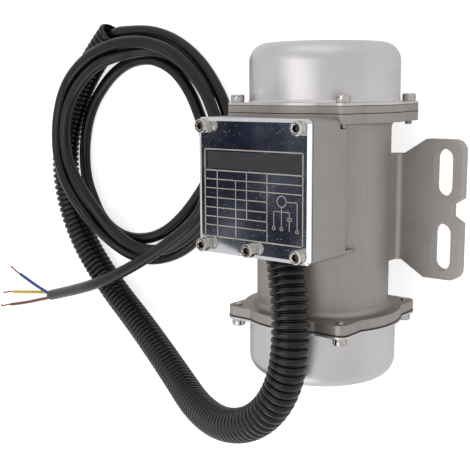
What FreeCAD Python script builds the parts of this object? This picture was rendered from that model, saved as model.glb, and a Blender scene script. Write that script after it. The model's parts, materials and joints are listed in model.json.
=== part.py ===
import FreeCAD, Part

import math
import os

import Sketcher
from FreeCAD import Placement, Rotation, Vector

# A small foot-mounted vibration motor: two unbalanced weights on each end of the rotor shaft.
# +X runs along the shaft away from the conduit, +Z is up from the mounting plane, and the
# origin is the middle of the four mounting slots, on that plane.

SIZES = {
    # Housing tube, shaft axis and overall stations
    "axis_height": 43.0,
    "tube_radius": 35.0,
    "tube_wall": 2.5,
    "flange_span": 114.0,           # between the outer faces of the two cap flanges
    "flange_radius": 42.0,
    "front_flange": 4.6,
    "rear_flange": 5.0,
    "rear_wall": 4.0,
    "root_fillet": 3.0,             # tube into flange
    "shield_flange": 3.4,
    "shield_gasket": 0.4,           # between the shield and the body
    "spigot_length": 6.0,
    "spigot_wall": 4.5,
    "fit_gap": 0.05,                # radial clearance of a located fit
    # Screw ears, four to a flange
    "ear_pitch_radius": 45.2,
    "ear_tip_radius": 4.9,
    "ear_root_radius": 37.0,
    "ear_flank_angle": 45.0,
    "ear_angle": 45.0,
    # End caps
    "cap_length": 30.0,
    "cap_radius": 39.0,
    "cap_sheet": 1.2,
    "cap_corner": 9.5,
    "cap_root_bend": 1.5,
    "front_gasket": 0.3,
    "rear_gasket": 0.8,
    "gasket_squeeze": 0.25,         # how far the gasket edge stands proud of the flange
    # M4 socket head screws
    "screw_diameter": 4.0,
    "screw_head_diameter": 7.0,
    "screw_head_height": 4.0,
    "screw_chamfer": 0.35,
    "socket_flats": 3.0,
    "socket_depth": 2.2,
    "thread_gap": 0.1,              # radial room in a tapped hole
    "front_screw_length": 12.0,
    "rear_screw_length": 8.0,
    "cover_screw_length": 8.0,
    "spring_washer": 1.0,
    "spring_washer_diameter": 6.8,
    "spring_washer_slit": 0.9,
    # Bearings, 12 x 32 x 10
    "bearing_bore": 12.0,
    "bearing_outside": 32.0,
    "bearing_width": 10.0,
    "bearing_seat_wall": 4.0,
    "bearing_lip_bore": 20.0,
    "bearing_lip": 2.8,             # wall that is left outside the rear bearing
    "bearing_land": 2.8,            # thickness of a race beside its groove
    "ball_diameter": 6.0,
    "race_gap": 0.1,
    # Shaft and rotor
    "rotor_seat_diameter": 15.0,
    "weight_seat_diameter": 10.0,
    "weight_seat_span": 115.0,      # between the shoulders that the weights butt against
    "shaft_length": 160.0,
    "shaft_chamfer": 0.6,
    "core_length": 40.0,
    "rotor_radius": 16.9,
    "air_gap": 0.4,
    "rotor_bar_diameter": 3.0,
    "rotor_bar_pitch_radius": 14.2,
    "end_ring_length": 5.0,
    "end_ring_bore": 22.0,
    # Stator
    "stator_slot_width": 5.0,
    "stator_slot_depth": 8.0,
    "stator_tooth_tip": 1.5,
    "slot_liner": 0.3,
    "winding_overhang": 12.0,
    "winding_depth": 9.0,
    # Eccentric weights
    "weight_radius": 28.0,
    "weight_half_angle": 75.0,
    "weight_thickness": 4.0,
    "hub_radius": 9.0,
    "hub_length": 8.0,
    "weight_gap": 0.5,              # between the keyed weight and the adjustable one
    "bore_gap": 0.05,
    "key_width": 3.0,
    "key_height": 3.0,
    "key_in_shaft": 1.6,
    "grub_screw_diameter": 4.0,
    "ring_groove_depth": 0.5,
    "ring_groove_width": 1.1,
    "ring_thickness": 1.0,
    "ring_radius": 8.0,
    # Terminal box on top of the tube
    "box_length": 67.1,
    "box_width": 67.2,
    "box_middle": 16.8,
    "box_floor": 31.0,              # underside, above the shaft axis
    "box_wall": 2.0,
    "box_corner": 2.5,
    "lug_drop": 14.5,               # how far the end walls reach below the floor
    "lug_half_width": 30.8,
    "cover_top": 61.0,              # above the shaft axis
    "cover_thickness": 1.5,
    "cover_bevel_width": 1.8,
    "cover_bevel_depth": 0.7,
    "cover_gasket": 0.6,
    "cover_screw_span_x": 58.8,
    "cover_screw_span_y": 57.2,
    "cover_hole_diameter": 4.4,
    "tab_depth": 3.7,               # depth of the tapped tabs under the cover
    "tab_radius": 3.9,
    # Conduit entry in the end wall of the box
    "entry_side": 7.5,              # off the middle plane, towards -Y
    "entry_height": 45.0,           # above the shaft axis
    "conduit_diameter": 19.0,
    "conduit_bore": 14.0,
    "entry_hole_diameter": 12.0,
    "bush_flange_diameter": 19.0,
    "bush_flange": 1.4,
    "bush_wall": 1.2,
    "bush_reach": 1.2,              # how far the bush stands out of the wall into the conduit
    # Inside the box
    "block_first_x": 4.0,           # first pole of the terminal block
    "block_pitch": 9.0,
    "block_margin": 5.0,
    "block_front": 16.0,            # distance of its wired face from the middle plane
    "block_depth": 13.0,
    "block_height": 18.0,
    "pole_depth": 5.5,
    "pole_screw_diameter": 4.2,
    "pole_screw_height": 3.0,
    "capacitor_length": 37.0,
    "capacitor_width": 14.0,
    "capacitor_height": 19.0,
    "capacitor_x": -8.5,
    "capacitor_y": -29.0,
    "earth_screw_x": 38.0,
    "earth_screw_y": -23.0,
    "earth_screw_length": 5.0,
    "lead_hole_diameter": 12.0,
    "lead_hole_x": 28.5,
    "grommet_lip": 1.3,
    "grommet_lip_reach": 1.4,
    "grommet_wall": 1.5,
    "grommet_gap": 0.05,
    "lead_diameter": 2.0,
    # Feet, one bent plate on each side
    "foot_plate": 6.0,
    "foot_length": 74.4,
    "foot_outer": 61.0,
    "foot_web_length": 58.0,
    "foot_web_face": 24.0,          # outer face of the upright web
    "foot_bend": 3.0,
    "foot_corner": 6.0,
    "foot_shoulder_end": 40.3,
    "slot_length": 25.3,
    "slot_width": 10.5,
    "slot_spacing_x": 39.6,
    "slot_inset": 10.5,             # from the outer edge of the foot to the middle of its slots
    "notch_depth": 5.5,
    "notch_top_width": 13.4,
    "notch_bottom_width": 6.4,
    # Three-core lead
    "cable_diameter": 7.8,
    "wire_diameter": 2.4,
    "copper_diameter": 1.3,
    "cord_gap": 0.05,
    "coil_x": 24.5,                 # middle of the loose coil on the ground
    "coil_y": 166.5,
    "coil_half_length": 81.0,
    "coil_half_width": 76.0,
    "coil_band_length": 26.0,       # breadth of the laid turns at the ends of the long axis
    "coil_band_width": 23.0,        # and at the ends of the short axis
    "coil_low_top": 17.0,           # top of the coil beside the motor
    "coil_high_top": 29.5,          # top of the coil where it crosses the conduit
}

# Where the free leads lie, picked along each route. The conduit, the cable and the cut ends are
# measured from the ground; the leads inside the box are measured from the shaft axis.
CONDUIT_HANGING = (
    (-13, -6.3, 87.1), (-34, -13.4, 92), (-54, -17.3, 95.5), (-76, -15, 96), (-95, -4.5, 94.5),
    (-110, 15, 89), (-120, 44, 77), (-123, 78, 58), (-117, 108, 41), (-107, 137, 28),
)
CONDUIT_LYING = (
    (-94, 169, 16), (-72, 206, 9.5), (-41, 234, 9.5), (-6, 248, 9.5), (30, 247, 9.5),
    (62, 232, 9.5), (86, 211.5, 9.5), (104, 191.2, 9.5),
)
CONDUIT_ROUTE = CONDUIT_HANGING + CONDUIT_LYING
CABLE_START = ((-6, -7.5, 88), (-20, -7.5, 88))
CABLE_END = ((109, 172, 8.5), (100, 152, 6))
TAIL_ROUTE = (
    (-36, 137, 14), (-47, 153, 25), (-57, 174, 31), (-67, 196, 32.5), (-76, 220, 29), (-84, 246, 17),
    (-91.7, 272.7, 8.5),
)
WIRE_ROUTES = {
    "wire_blue": ((-90.4, 269, 11), (-87.5, 284, 9.5), (-84.4, 298, 7.5), (-81.2, 313, 5)),
    "wire_yellow": ((-89.6, 270, 8), (-92.5, 292, 6), (-95.5, 310, 4), (-97.7, 326, 3)),
    "wire_brown": ((-92.6, 269, 8.4), (-98.5, 290, 6), (-104.5, 311, 4), (-108.8, 330, 3)),
}
COPPER_ROUTES = (
    ((-81.2, 313, 5), (-80.8, 315, 4.7), (-79.3, 320.7, 4.2), (-77, 327.5, 3.6)),
    ((-97.7, 326, 3), (-98, 328, 2.9), (-98.7, 334, 2.4), (-99.9, 340.6, 2)),
    ((-108.8, 330, 3), (-109.2, 332, 2.9), (-110.1, 337.6, 2.4), (-111.5, 345, 2)),
)
WINDING_LEADS = (
    ((26.1, 0, 28.1), (26.1, 0, 38), (13, 9, 43), (13, 16, 43)),
    ((28.5, 0, 28.1), (28.5, 0, 38), (22, 9, 43), (22, 16, 43)),
    ((30.9, 0, 28.1), (30.9, 0, 38), (31, 9, 43), (31, 16, 43)),
)
SUPPLY_CORES = (
    ((-5.9, -7.5, 46.5), (-2, -7.5, 46.8), (3, -4, 48), (13, 6, 48), (13, 15.9, 48)),
    ((-5.9, -6, 43.9), (-1, -6, 44.2), (7, -3, 46), (22, 7, 47.5), (22, 15.9, 47.5)),
    ((-5.9, -9, 43.9), (2, -9, 44.2), (14, -10.5, 44), (32, -12, 41), (38, -17, 36)),
)
CAPACITOR_LEADS = (
    ((4, -14.9, 47), (4, -12, 47.3), (4, -6, 51.5), (4, 9, 51.5), (4, 12.5, 48), (4, 15.9, 48)),
    ((24, -14.9, 47), (24, -12, 47.3), (28, -6, 51.5), (31, 8, 51), (31, 12.5, 48), (31, 15.9, 48)),
)
CORD_REACH = 0.45                   # share of the shorter run that a bend takes up

# Stations along the shaft, from mid-length outwards
CAP_FACE = "(Dim.flange_span / 2)"
FRONT_SHEET_FACE = f"({CAP_FACE} - Dim.cap_sheet)"
SHIELD_FACE = f"({FRONT_SHEET_FACE} - Dim.front_gasket)"
SHIELD_REAR = f"({SHIELD_FACE} - Dim.shield_flange)"
BODY_FRONT = f"({SHIELD_REAR} - Dim.shield_gasket)"
BODY_FRONT_INNER = f"({BODY_FRONT} - Dim.front_flange)"
BODY_REAR = f"(-({FRONT_SHEET_FACE} - Dim.rear_gasket))"
BODY_REAR_INNER = f"({BODY_REAR} + Dim.rear_flange)"
CAP_END = f"({CAP_FACE} + Dim.cap_length)"
TUBE_BORE = "(Dim.tube_radius - Dim.tube_wall)"
BEARING_FACE = f"(-{BODY_REAR} - Dim.bearing_lip)"
SHOULDER = f"({BEARING_FACE} - Dim.bearing_width)"
SEAT_RADIUS = "(Dim.bearing_outside / 2)"
SEAT_OUTSIDE = f"({SEAT_RADIUS} + Dim.bearing_seat_wall)"
LIP_RADIUS = "(Dim.bearing_lip_bore / 2)"
WEIGHT_SHOULDER = "(Dim.weight_seat_span / 2)"
OUTER_WEIGHT_START = f"({WEIGHT_SHOULDER} + Dim.hub_length + Dim.weight_gap)"
RING_START = f"({OUTER_WEIGHT_START} + Dim.hub_length + Dim.weight_gap)"
BALL_PITCH = "((Dim.bearing_bore + Dim.bearing_outside) / 4)"

# Heights of the box above the shaft axis, and its ends along the shaft
COVER_UNDERSIDE = "(Dim.cover_top - Dim.cover_thickness)"
BOX_RIM = f"({COVER_UNDERSIDE} - Dim.cover_gasket)"
BOX_FLOOR_TOP = "(Dim.box_floor + Dim.box_wall)"
BOX_FRONT = "(Dim.box_middle + Dim.box_length / 2)"
BOX_REAR = "(Dim.box_middle - Dim.box_length / 2)"

PARTS = []
SIDES = (("front", 0), ("rear", 180))

document = FreeCAD.newDocument("VibrationMotor")
dim = document.addObject("Spreadsheet::Sheet", "Dim")
for row, (alias, number) in enumerate(SIZES.items(), start=1):
    dim.set(f"A{row}", str(number))
    dim.setAlias(f"A{row}", alias)
document.recompute()


def value(expression):
    """Number that an expression over the sheet gives."""
    result = dim.evalExpression(str(expression))
    return float(getattr(result, "Value", result))


def keep(item):
    """Mark a document object as a sub-part that gets its own file."""
    PARTS.append(item)
    return item


def new_body(label, height="Dim.axis_height", turn=0):
    """Body that stands on the shaft axis, turned about the vertical."""
    body = document.addObject("PartDesign::Body", label)
    body.Label = label
    body.AllowCompound = True
    body.Placement = Placement(Vector(), Rotation(Vector(0, 0, 1), turn))
    body.setExpression("Placement.Base.z", height)
    return body


def origin_feature(body, role):
    return next(item for item in body.Origin.OriginFeatures if item.Role == role)


def new_sketch(body, name, role, offset="0", turn=0, shift=("0", "0")):
    """Sketch on one of the body's own planes, moved along its normal and within it."""
    sketch = body.newObject("Sketcher::SketchObject", name)
    sketch.AttachmentSupport = (origin_feature(body, role), [""])
    sketch.MapMode = "FlatFace"
    sketch.AttachmentOffset = Placement(Vector(), Rotation(Vector(0, 0, 1), turn))
    for axis, distance in zip("xyz", (*shift, offset)):
        sketch.setExpression(f"AttachmentOffset.Base.{axis}", distance)
    return sketch


def pin(sketch, edge, end, x, y):
    """Tie a point of the sketch to its two coordinates."""
    for kind, distance in (("DistanceX", x), ("DistanceY", y)):
        index = sketch.addConstraint(Sketcher.Constraint(kind, -1, 1, edge, end, value(distance)))
        sketch.setExpression(f"Constraints[{index}]", distance)


def bind_radius(sketch, edge, radius):
    index = sketch.addConstraint(Sketcher.Constraint("Radius", edge, value(radius)))
    sketch.setExpression(f"Constraints[{index}]", radius)


def arc_between(start, end, radius, side):
    """Arc of less than half a turn; its middle lies to the named side of the way there."""
    chord = end - start
    normal = Vector(-chord.y, chord.x, 0).normalize() * side
    reach = math.sqrt(max(radius ** 2 - (chord.Length / 2) ** 2, 0))
    centre = (start + end) / 2 + normal * reach
    first, last = (start, end) if side > 0 else (end, start)
    angles = [math.atan2(point.y - centre.y, point.x - centre.x) for point in (first, last)]
    return Part.ArcOfCircle(Part.Circle(centre, Vector(0, 0, 1), radius), *angles)


def outline(sketch, corners):
    """Closed outline. A corner is (x, y), or (x, y, radius, side) where an arc leaves it."""
    points = [Vector(value(corner[0]), value(corner[1]), 0) for corner in corners]
    ends = []
    for corner, start, end in zip(corners, points, points[1:] + points[:1]):
        if len(corner) == 2:
            edge = sketch.addGeometry(Part.LineSegment(start, end))
            ends.append((edge, 1, 2))
            continue
        radius, side = corner[2:]
        edge = sketch.addGeometry(arc_between(start, end, value(radius), side))
        ends.append((edge, 1, 2) if side > 0 else (edge, 2, 1))
    for (edge, _, last), (following, first, _) in zip(ends, ends[1:] + ends[:1]):
        sketch.addConstraint(Sketcher.Constraint("Coincident", edge, last, following, first))
    for corner, (edge, first, _) in zip(corners, ends):
        pin(sketch, edge, first, corner[0], corner[1])
        if len(corner) > 2:
            bind_radius(sketch, edge, corner[2])
    return sketch


def circle(sketch, x, y, radius):
    centre = Vector(value(x), value(y), 0)
    edge = sketch.addGeometry(Part.Circle(centre, Vector(0, 0, 1), value(radius)))
    pin(sketch, edge, 3, x, y)
    bind_radius(sketch, edge, radius)
    return sketch


def slot(sketch, x, y, length, width):
    """Round-ended slot along the sketch's X."""
    radius = f"({width}) / 2"
    reach = f"(({length}) - ({width})) / 2"
    half = value(radius)
    left = Vector(value(f"({x}) - {reach}"), value(y), 0)
    right = Vector(value(f"({x}) + {reach}"), value(y), 0)
    up = Vector(0, half, 0)
    quarter = math.pi / 2
    normal = Vector(0, 0, 1)
    first = sketch.addGeometry(Part.ArcOfCircle(Part.Circle(left, normal, half), quarter, 3 * quarter))
    low = sketch.addGeometry(Part.LineSegment(left - up, right - up))
    last = sketch.addGeometry(Part.ArcOfCircle(Part.Circle(right, normal, half), -quarter, quarter))
    high = sketch.addGeometry(Part.LineSegment(right + up, left + up))
    for edge, following in ((first, low), (low, last), (last, high), (high, first)):
        sketch.addConstraint(Sketcher.Constraint("Tangent", edge, 2, following, 1))
    pin(sketch, first, 3, f"({x}) - {reach}", y)
    pin(sketch, last, 3, f"({x}) + {reach}", y)
    bind_radius(sketch, first, radius)


def box_corners(x_low, x_high, y_low, y_high):
    return ((x_low, y_low), (x_high, y_low), (x_high, y_high), (x_low, y_high))


def pad(body, name, sketch, length, reverse=False):
    feature = body.newObject("PartDesign::Pad", name)
    feature.Profile = sketch
    feature.Reversed = reverse
    feature.setExpression("Length", length)
    return feature


def pocket(body, name, sketch, length, reverse=False, both=False):
    """Cut, which has to take something away."""
    document.recompute()
    before = body.Shape.Volume
    feature = body.newObject("PartDesign::Pocket", name)
    feature.Profile = sketch
    feature.Reversed = reverse
    feature.Midplane = both
    feature.setExpression("Length", length)
    document.recompute()
    if body.Shape.Volume >= before:
        raise RuntimeError(f"{body.Label}: {name} cuts nothing")
    return feature


def revolve(body, name, sketch, axis=None):
    feature = body.newObject("PartDesign::Revolution", name)
    feature.Profile = sketch
    feature.ReferenceAxis = axis or (origin_feature(body, "X_Axis"), [""])
    feature.Angle = 360
    return feature


def polar(body, name, features, count, axis="X_Axis"):
    pattern = body.newObject("PartDesign::PolarPattern", name)
    pattern.Originals = features
    pattern.Axis = (origin_feature(body, axis), [""])
    pattern.Angle = 360
    pattern.Occurrences = count
    body.Tip = pattern
    return pattern


def chamfer(body, name, base, width, depth, wanted):
    """Chamfer of the edges of a feature that a test picks, wider on their upper face."""
    document.recompute()
    edges = [f"Edge{n}" for n, edge in enumerate(base.Shape.Edges, start=1) if wanted(edge)]
    feature = body.newObject("PartDesign::Chamfer", name)
    feature.Base = (base, edges)
    feature.ChamferType = "Two distances"
    feature.FlipDirection = True
    feature.setExpression("Size", width)
    feature.setExpression("Size2", depth)
    return feature


def fillet(body, name, base, size, wanted):
    document.recompute()
    edges = [f"Edge{n}" for n, edge in enumerate(base.Shape.Edges, start=1) if wanted(edge)]
    feature = body.newObject("PartDesign::Fillet", name)
    feature.Base = (base, edges)
    feature.setExpression("Radius", size)
    return feature


def upright(edge):
    """Straight edge along the body's Z."""
    start, end = edge.Vertexes[0].Point, edge.Vertexes[-1].Point
    return len(edge.Vertexes) == 2 and abs((end - start).z) > 0.99 * edge.Length


def ear_sketch(body, name, start, squeeze="0", quarter=0):
    """Outline of one screw ear, some quarter turns on from the first."""
    tip = f"(Dim.ear_tip_radius + {squeeze})"
    root = "Dim.ear_root_radius"
    touch = f"(Dim.ear_pitch_radius + {tip} * sin(Dim.ear_flank_angle))"
    touch_half = f"({tip} * cos(Dim.ear_flank_angle))"
    root_half = (f"({tip} / cos(Dim.ear_flank_angle)"
                 f" + (Dim.ear_pitch_radius - {root}) * tan(Dim.ear_flank_angle))")
    turn = SIZES["ear_angle"] + 90 * quarter
    sketch = new_sketch(body, f"{name}_outline", "YZ_Plane", offset=start, turn=turn)
    return outline(sketch, (
        (root, f"-{root_half}"),
        (touch, f"-{touch_half}", tip, 1),
        (touch, touch_half),
        (root, root_half),
    ))


def add_ears(body, name, start, thickness, hole_radius, squeeze="0"):
    """Four screw ears round the flange that starts at a station, pointing along +X."""
    sketch = ear_sketch(body, name, start, squeeze)
    circle(sketch, "Dim.ear_pitch_radius", "0", hole_radius)
    ear = pad(body, name, sketch, thickness)
    return polar(body, f"{name}_pattern", [ear], 4)


def group(label, template, spots, tilt=Rotation()):
    """Sub-part of equal pieces: links to one body at (x, y, z), each turned about the vertical."""
    links = []
    for number, (x, y, z, turn) in enumerate(spots, start=1):
        link = document.addObject("App::Link", f"{label}_{number}")
        link.LinkedObject = template
        link.Placement = Placement(Vector(), Rotation(Vector(0, 0, 1), turn) * tilt)
        for axis, distance in zip("xyz", (x, y, z)):
            link.setExpression(f"Placement.Base.{axis}", distance)
        links.append(link)
    compound = document.addObject("Part::Compound", label)
    compound.Label = label
    compound.Links = links
    return keep(compound)


UPRIGHT = Rotation(Vector(0, 1, 0), -90)        # turns a piece made along X to point up


# --- Housing -------------------------------------------------------------------------------

TAPPED_RADIUS = "(Dim.screw_diameter / 2 + Dim.thread_gap)"
CLEAR_RADIUS = "(Dim.cover_hole_diameter / 2)"


def make_motor_body():
    """Tube with both flanges, the rear end wall and the rear bearing seat, in one piece."""
    body = new_body("motor_body")
    fillet_top = "(Dim.tube_radius + Dim.root_fillet)"
    sketch = new_sketch(body, "housing_profile", "XZ_Plane")
    outline(sketch, (
        (BODY_REAR, LIP_RADIUS),
        (BODY_REAR, "Dim.flange_radius"),
        (BODY_REAR_INNER, "Dim.flange_radius"),
        (BODY_REAR_INNER, fillet_top, "Dim.root_fillet", 1),
        (f"{BODY_REAR_INNER} + Dim.root_fillet", "Dim.tube_radius"),
        (f"{BODY_FRONT_INNER} - Dim.root_fillet", "Dim.tube_radius", "Dim.root_fillet", 1),
        (BODY_FRONT_INNER, fillet_top),
        (BODY_FRONT_INNER, "Dim.flange_radius"),
        (BODY_FRONT, "Dim.flange_radius"),
        (BODY_FRONT, TUBE_BORE),
        (f"{BODY_REAR} + Dim.rear_wall", TUBE_BORE),
        (f"{BODY_REAR} + Dim.rear_wall", SEAT_OUTSIDE),
        (f"-{SHOULDER}", SEAT_OUTSIDE),
        (f"-{SHOULDER}", f"{SEAT_RADIUS} + Dim.fit_gap"),
        (f"-{BEARING_FACE}", f"{SEAT_RADIUS} + Dim.fit_gap"),
        (f"-{BEARING_FACE}", LIP_RADIUS),
    ))
    revolve(body, "housing", sketch)
    add_ears(body, "front_ear", BODY_FRONT_INNER, "Dim.front_flange", TAPPED_RADIUS)
    add_ears(body, "rear_ear", BODY_REAR, "Dim.rear_flange", TAPPED_RADIUS)
    lead_hole = new_sketch(body, "lead_hole_outline", "XY_Plane", offset="Dim.tube_radius")
    circle(lead_hole, "Dim.lead_hole_x", "0", "Dim.lead_hole_diameter / 2")
    pocket(body, "lead_hole", lead_hole, "2 * Dim.tube_wall")
    return keep(body)


def make_front_end_shield():
    """Plate between body and front cap: flange, spigot in the tube and front bearing seat."""
    body = new_body("front_end_shield")
    spigot = f"({TUBE_BORE} - Dim.fit_gap)"
    spigot_end = f"({BODY_FRONT} - Dim.spigot_length)"
    sketch = new_sketch(body, "shield_profile", "XZ_Plane")
    outline(sketch, (
        (SHIELD_FACE, LIP_RADIUS),
        (BEARING_FACE, LIP_RADIUS),
        (BEARING_FACE, f"{SEAT_RADIUS} + Dim.fit_gap"),
        (SHOULDER, f"{SEAT_RADIUS} + Dim.fit_gap"),
        (SHOULDER, SEAT_OUTSIDE),
        (SHIELD_REAR, SEAT_OUTSIDE),
        (SHIELD_REAR, f"{spigot} - Dim.spigot_wall"),
        (spigot_end, f"{spigot} - Dim.spigot_wall"),
        (spigot_end, spigot),
        (SHIELD_REAR, spigot),
        (SHIELD_REAR, "Dim.flange_radius"),
        (SHIELD_FACE, "Dim.flange_radius"),
    ))
    revolve(body, "shield", sketch)
    add_ears(body, "shield_ear", SHIELD_REAR, "Dim.shield_flange", CLEAR_RADIUS)
    return keep(body)


def make_cap(side, turn):
    """Drawn sheet cap over the weights of one end."""
    body = new_body(f"{side}_cap", turn=turn)
    inside = "(Dim.cap_radius - Dim.cap_sheet)"
    inner_corner = "(Dim.cap_corner - Dim.cap_sheet)"
    sketch = new_sketch(body, "cap_profile", "XZ_Plane")
    outline(sketch, (
        (FRONT_SHEET_FACE, inside),
        (FRONT_SHEET_FACE, "Dim.flange_radius"),
        (CAP_FACE, "Dim.flange_radius"),
        (CAP_FACE, "Dim.cap_radius + Dim.cap_root_bend", "Dim.cap_root_bend", 1),
        (f"{CAP_FACE} + Dim.cap_root_bend", "Dim.cap_radius"),
        (f"{CAP_END} - Dim.cap_corner", "Dim.cap_radius", "Dim.cap_corner", -1),
        (CAP_END, "Dim.cap_radius - Dim.cap_corner"),
        (CAP_END, "0"),
        (f"{CAP_END} - Dim.cap_sheet", "0"),
        (f"{CAP_END} - Dim.cap_sheet", "Dim.cap_radius - Dim.cap_corner", inner_corner, 1),
        (f"{CAP_END} - Dim.cap_corner", inside),
    ))
    revolve(body, "drawn_cap", sketch)
    add_ears(body, "cap_ear", FRONT_SHEET_FACE, "Dim.cap_sheet", CLEAR_RADIUS)
    return keep(body)


def make_gasket(label, turn, start, thickness, inside, squeeze):
    """Flat gasket with the outline of a flange; its rim stands proud by the squeeze."""
    body = new_body(label, turn=turn)
    sketch = new_sketch(body, "gasket_outline", "YZ_Plane", offset=start)
    circle(sketch, "0", "0", f"Dim.flange_radius + {squeeze}")
    circle(sketch, "0", "0", inside)
    pad(body, "gasket", sketch, thickness)
    add_ears(body, "gasket_ear", start, thickness, CLEAR_RADIUS, squeeze)
    return keep(body)


def make_gaskets():
    under_cap = "(Dim.cap_radius - Dim.cap_sheet)"
    make_gasket("front_cap_gasket", 0, SHIELD_FACE, "Dim.front_gasket", under_cap, "0")
    make_gasket("rear_cap_gasket", 180, f"(-{BODY_REAR})", "Dim.rear_gasket", under_cap,
                "Dim.gasket_squeeze")
    make_gasket("shield_gasket", 0, BODY_FRONT, "Dim.shield_gasket", TUBE_BORE, "0")


def make_screw(label, length):
    """Socket head screw along +X with the underside of its head at the origin."""
    body = new_body(label, height="0")
    shank = "(Dim.screw_diameter / 2)"
    head = "(Dim.screw_head_diameter / 2)"
    sketch = new_sketch(body, "screw_profile", "XZ_Plane")
    outline(sketch, (
        (f"-({length})", "0"),
        (f"-({length})", f"{shank} - Dim.screw_chamfer"),
        (f"Dim.screw_chamfer - ({length})", shank),
        ("0", shank),
        ("0", head),
        ("Dim.screw_head_height - Dim.screw_chamfer", head),
        ("Dim.screw_head_height", f"{head} - Dim.screw_chamfer"),
        ("Dim.screw_head_height", "0"),
    ))
    revolve(body, "turned_screw", sketch)
    socket = new_sketch(body, "socket_outline", "YZ_Plane", offset="Dim.screw_head_height")
    reach = "(Dim.socket_flats / 2 / cos(30))"
    outline(socket, [(f"{reach} * cos({60 * n})", f"{reach} * sin({60 * n})") for n in range(6)])
    pocket(body, "socket", socket, "Dim.socket_depth")
    return body


def make_cap_screws(side, turn):
    """The four screws that hold one cap, heads outwards."""
    template = make_screw(f"{side}_screw_pattern", f"Dim.{side}_screw_length")
    direction = "1" if side == "front" else "-1"
    spots = []
    for quarter in range(4):
        angle = f"(Dim.ear_angle + {90 * quarter})"
        spots.append((
            f"{direction} * {CAP_FACE}",
            f"Dim.ear_pitch_radius * cos{angle}",
            f"Dim.axis_height + Dim.ear_pitch_radius * sin{angle}",
            turn,
        ))
    return group(f"{side}_cap_screws", template, spots)


# --- Bearings ------------------------------------------------------------------------------

GROOVE_RADIUS = "(Dim.ball_diameter / 2 + Dim.race_gap)"
BEARING_MIDDLE = f"({SHOULDER} + Dim.bearing_width / 2)"


def make_race(label, turn, seat, land, groove_side):
    """Bearing ring between its seat radius and its land radius, with the ball groove."""
    body = new_body(label, turn=turn)
    half = f"sqrt({GROOVE_RADIUS}^2 - ({land} - {BALL_PITCH})^2)"
    sketch = new_sketch(body, "race_profile", "XZ_Plane")
    outline(sketch, (
        (SHOULDER, seat),
        (SHOULDER, land),
        (f"{BEARING_MIDDLE} - {half}", land, GROOVE_RADIUS, groove_side),
        (f"{BEARING_MIDDLE} + {half}", land),
        (BEARING_FACE, land),
        (BEARING_FACE, seat),
    ))
    revolve(body, "race", sketch)
    return keep(body)


def make_balls(side, turn):
    body = new_body(f"{side}_bearing_balls", turn=turn)
    ball = body.newObject("PartDesign::AdditiveSphere", "ball")
    ball.setExpression("Radius", "Dim.ball_diameter / 2")
    ball.AttachmentSupport = (origin_feature(body, "YZ_Plane"), [""])
    ball.MapMode = "FlatFace"
    ball.setExpression("AttachmentOffset.Base.y", BALL_PITCH)
    ball.setExpression("AttachmentOffset.Base.z", BEARING_MIDDLE)
    polar(body, "ball_pattern", [ball], 7)
    return keep(body)


def make_bearing(side, turn):
    outer_land = f"({SEAT_RADIUS} - Dim.bearing_land)"
    inner_land = "(Dim.bearing_bore / 2 + Dim.bearing_land)"
    make_race(f"{side}_bearing_outer_ring", turn, SEAT_RADIUS, outer_land, -1)
    make_race(f"{side}_bearing_inner_ring", turn, "(Dim.bearing_bore / 2 + Dim.bore_gap)", inner_land, 1)
    make_balls(side, turn)


# --- Stator --------------------------------------------------------------------------------

STATOR_BORE = "(Dim.rotor_radius + Dim.air_gap)"
SLOT_FLOOR = f"({STATOR_BORE} + Dim.stator_tooth_tip + Dim.stator_slot_depth)"
SLOT_COUNT = 12


def make_stator_core():
    body = new_body("stator_core")
    ring = new_sketch(body, "lamination", "YZ_Plane", offset="-Dim.core_length / 2")
    circle(ring, "0", "0", f"{TUBE_BORE} - Dim.fit_gap")
    circle(ring, "0", "0", STATOR_BORE)
    pad(body, "core", ring, "Dim.core_length")
    cut = new_sketch(body, "slot_outline", "YZ_Plane", offset="Dim.core_length / 2")
    half = "Dim.stator_slot_width / 2"
    outline(cut, box_corners(f"{STATOR_BORE} + Dim.stator_tooth_tip", SLOT_FLOOR, f"-{half}", half))
    slot_cut = pocket(body, "winding_slot", cut, "Dim.core_length")
    polar(body, "winding_slots", [slot_cut], SLOT_COUNT)
    return keep(body)


def make_stator_winding():
    """Copper coils: sides in the slots and round overhangs at both ends."""
    body = new_body("stator_winding")
    inner = f"({STATOR_BORE} + Dim.stator_tooth_tip + Dim.slot_liner)"
    sketch = new_sketch(body, "overhang_profile", "XZ_Plane")
    for direction in (-1, 1):
        near = f"{direction} * (Dim.core_length / 2 + Dim.slot_liner)"
        far = f"{direction} * (Dim.core_length / 2 + Dim.winding_overhang)"
        bevel = f"{direction} * (Dim.core_length / 2 + Dim.winding_overhang - Dim.winding_depth / 4)"
        outline(sketch, (
            (near, inner),
            (bevel, inner),
            (far, f"{inner} + Dim.winding_depth / 4"),
            (far, f"{inner} + Dim.winding_depth * 3 / 4"),
            (bevel, f"{inner} + Dim.winding_depth"),
            (near, f"{inner} + Dim.winding_depth"),
        ))
    revolve(body, "overhangs", sketch)
    side = new_sketch(body, "coil_side_outline", "YZ_Plane", offset="-Dim.core_length / 2 - Dim.slot_liner")
    half = "(Dim.stator_slot_width / 2 - Dim.slot_liner)"
    outline(side, box_corners(f"{inner} + Dim.slot_liner", f"{SLOT_FLOOR} - Dim.slot_liner",
                              f"-{half}", half))
    coil_side = pad(body, "coil_side", side, "Dim.core_length + 2 * Dim.slot_liner")
    polar(body, "coil_sides", [coil_side], SLOT_COUNT)
    return keep(body)


# --- Rotor ---------------------------------------------------------------------------------

BAR_COUNT = 12


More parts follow.
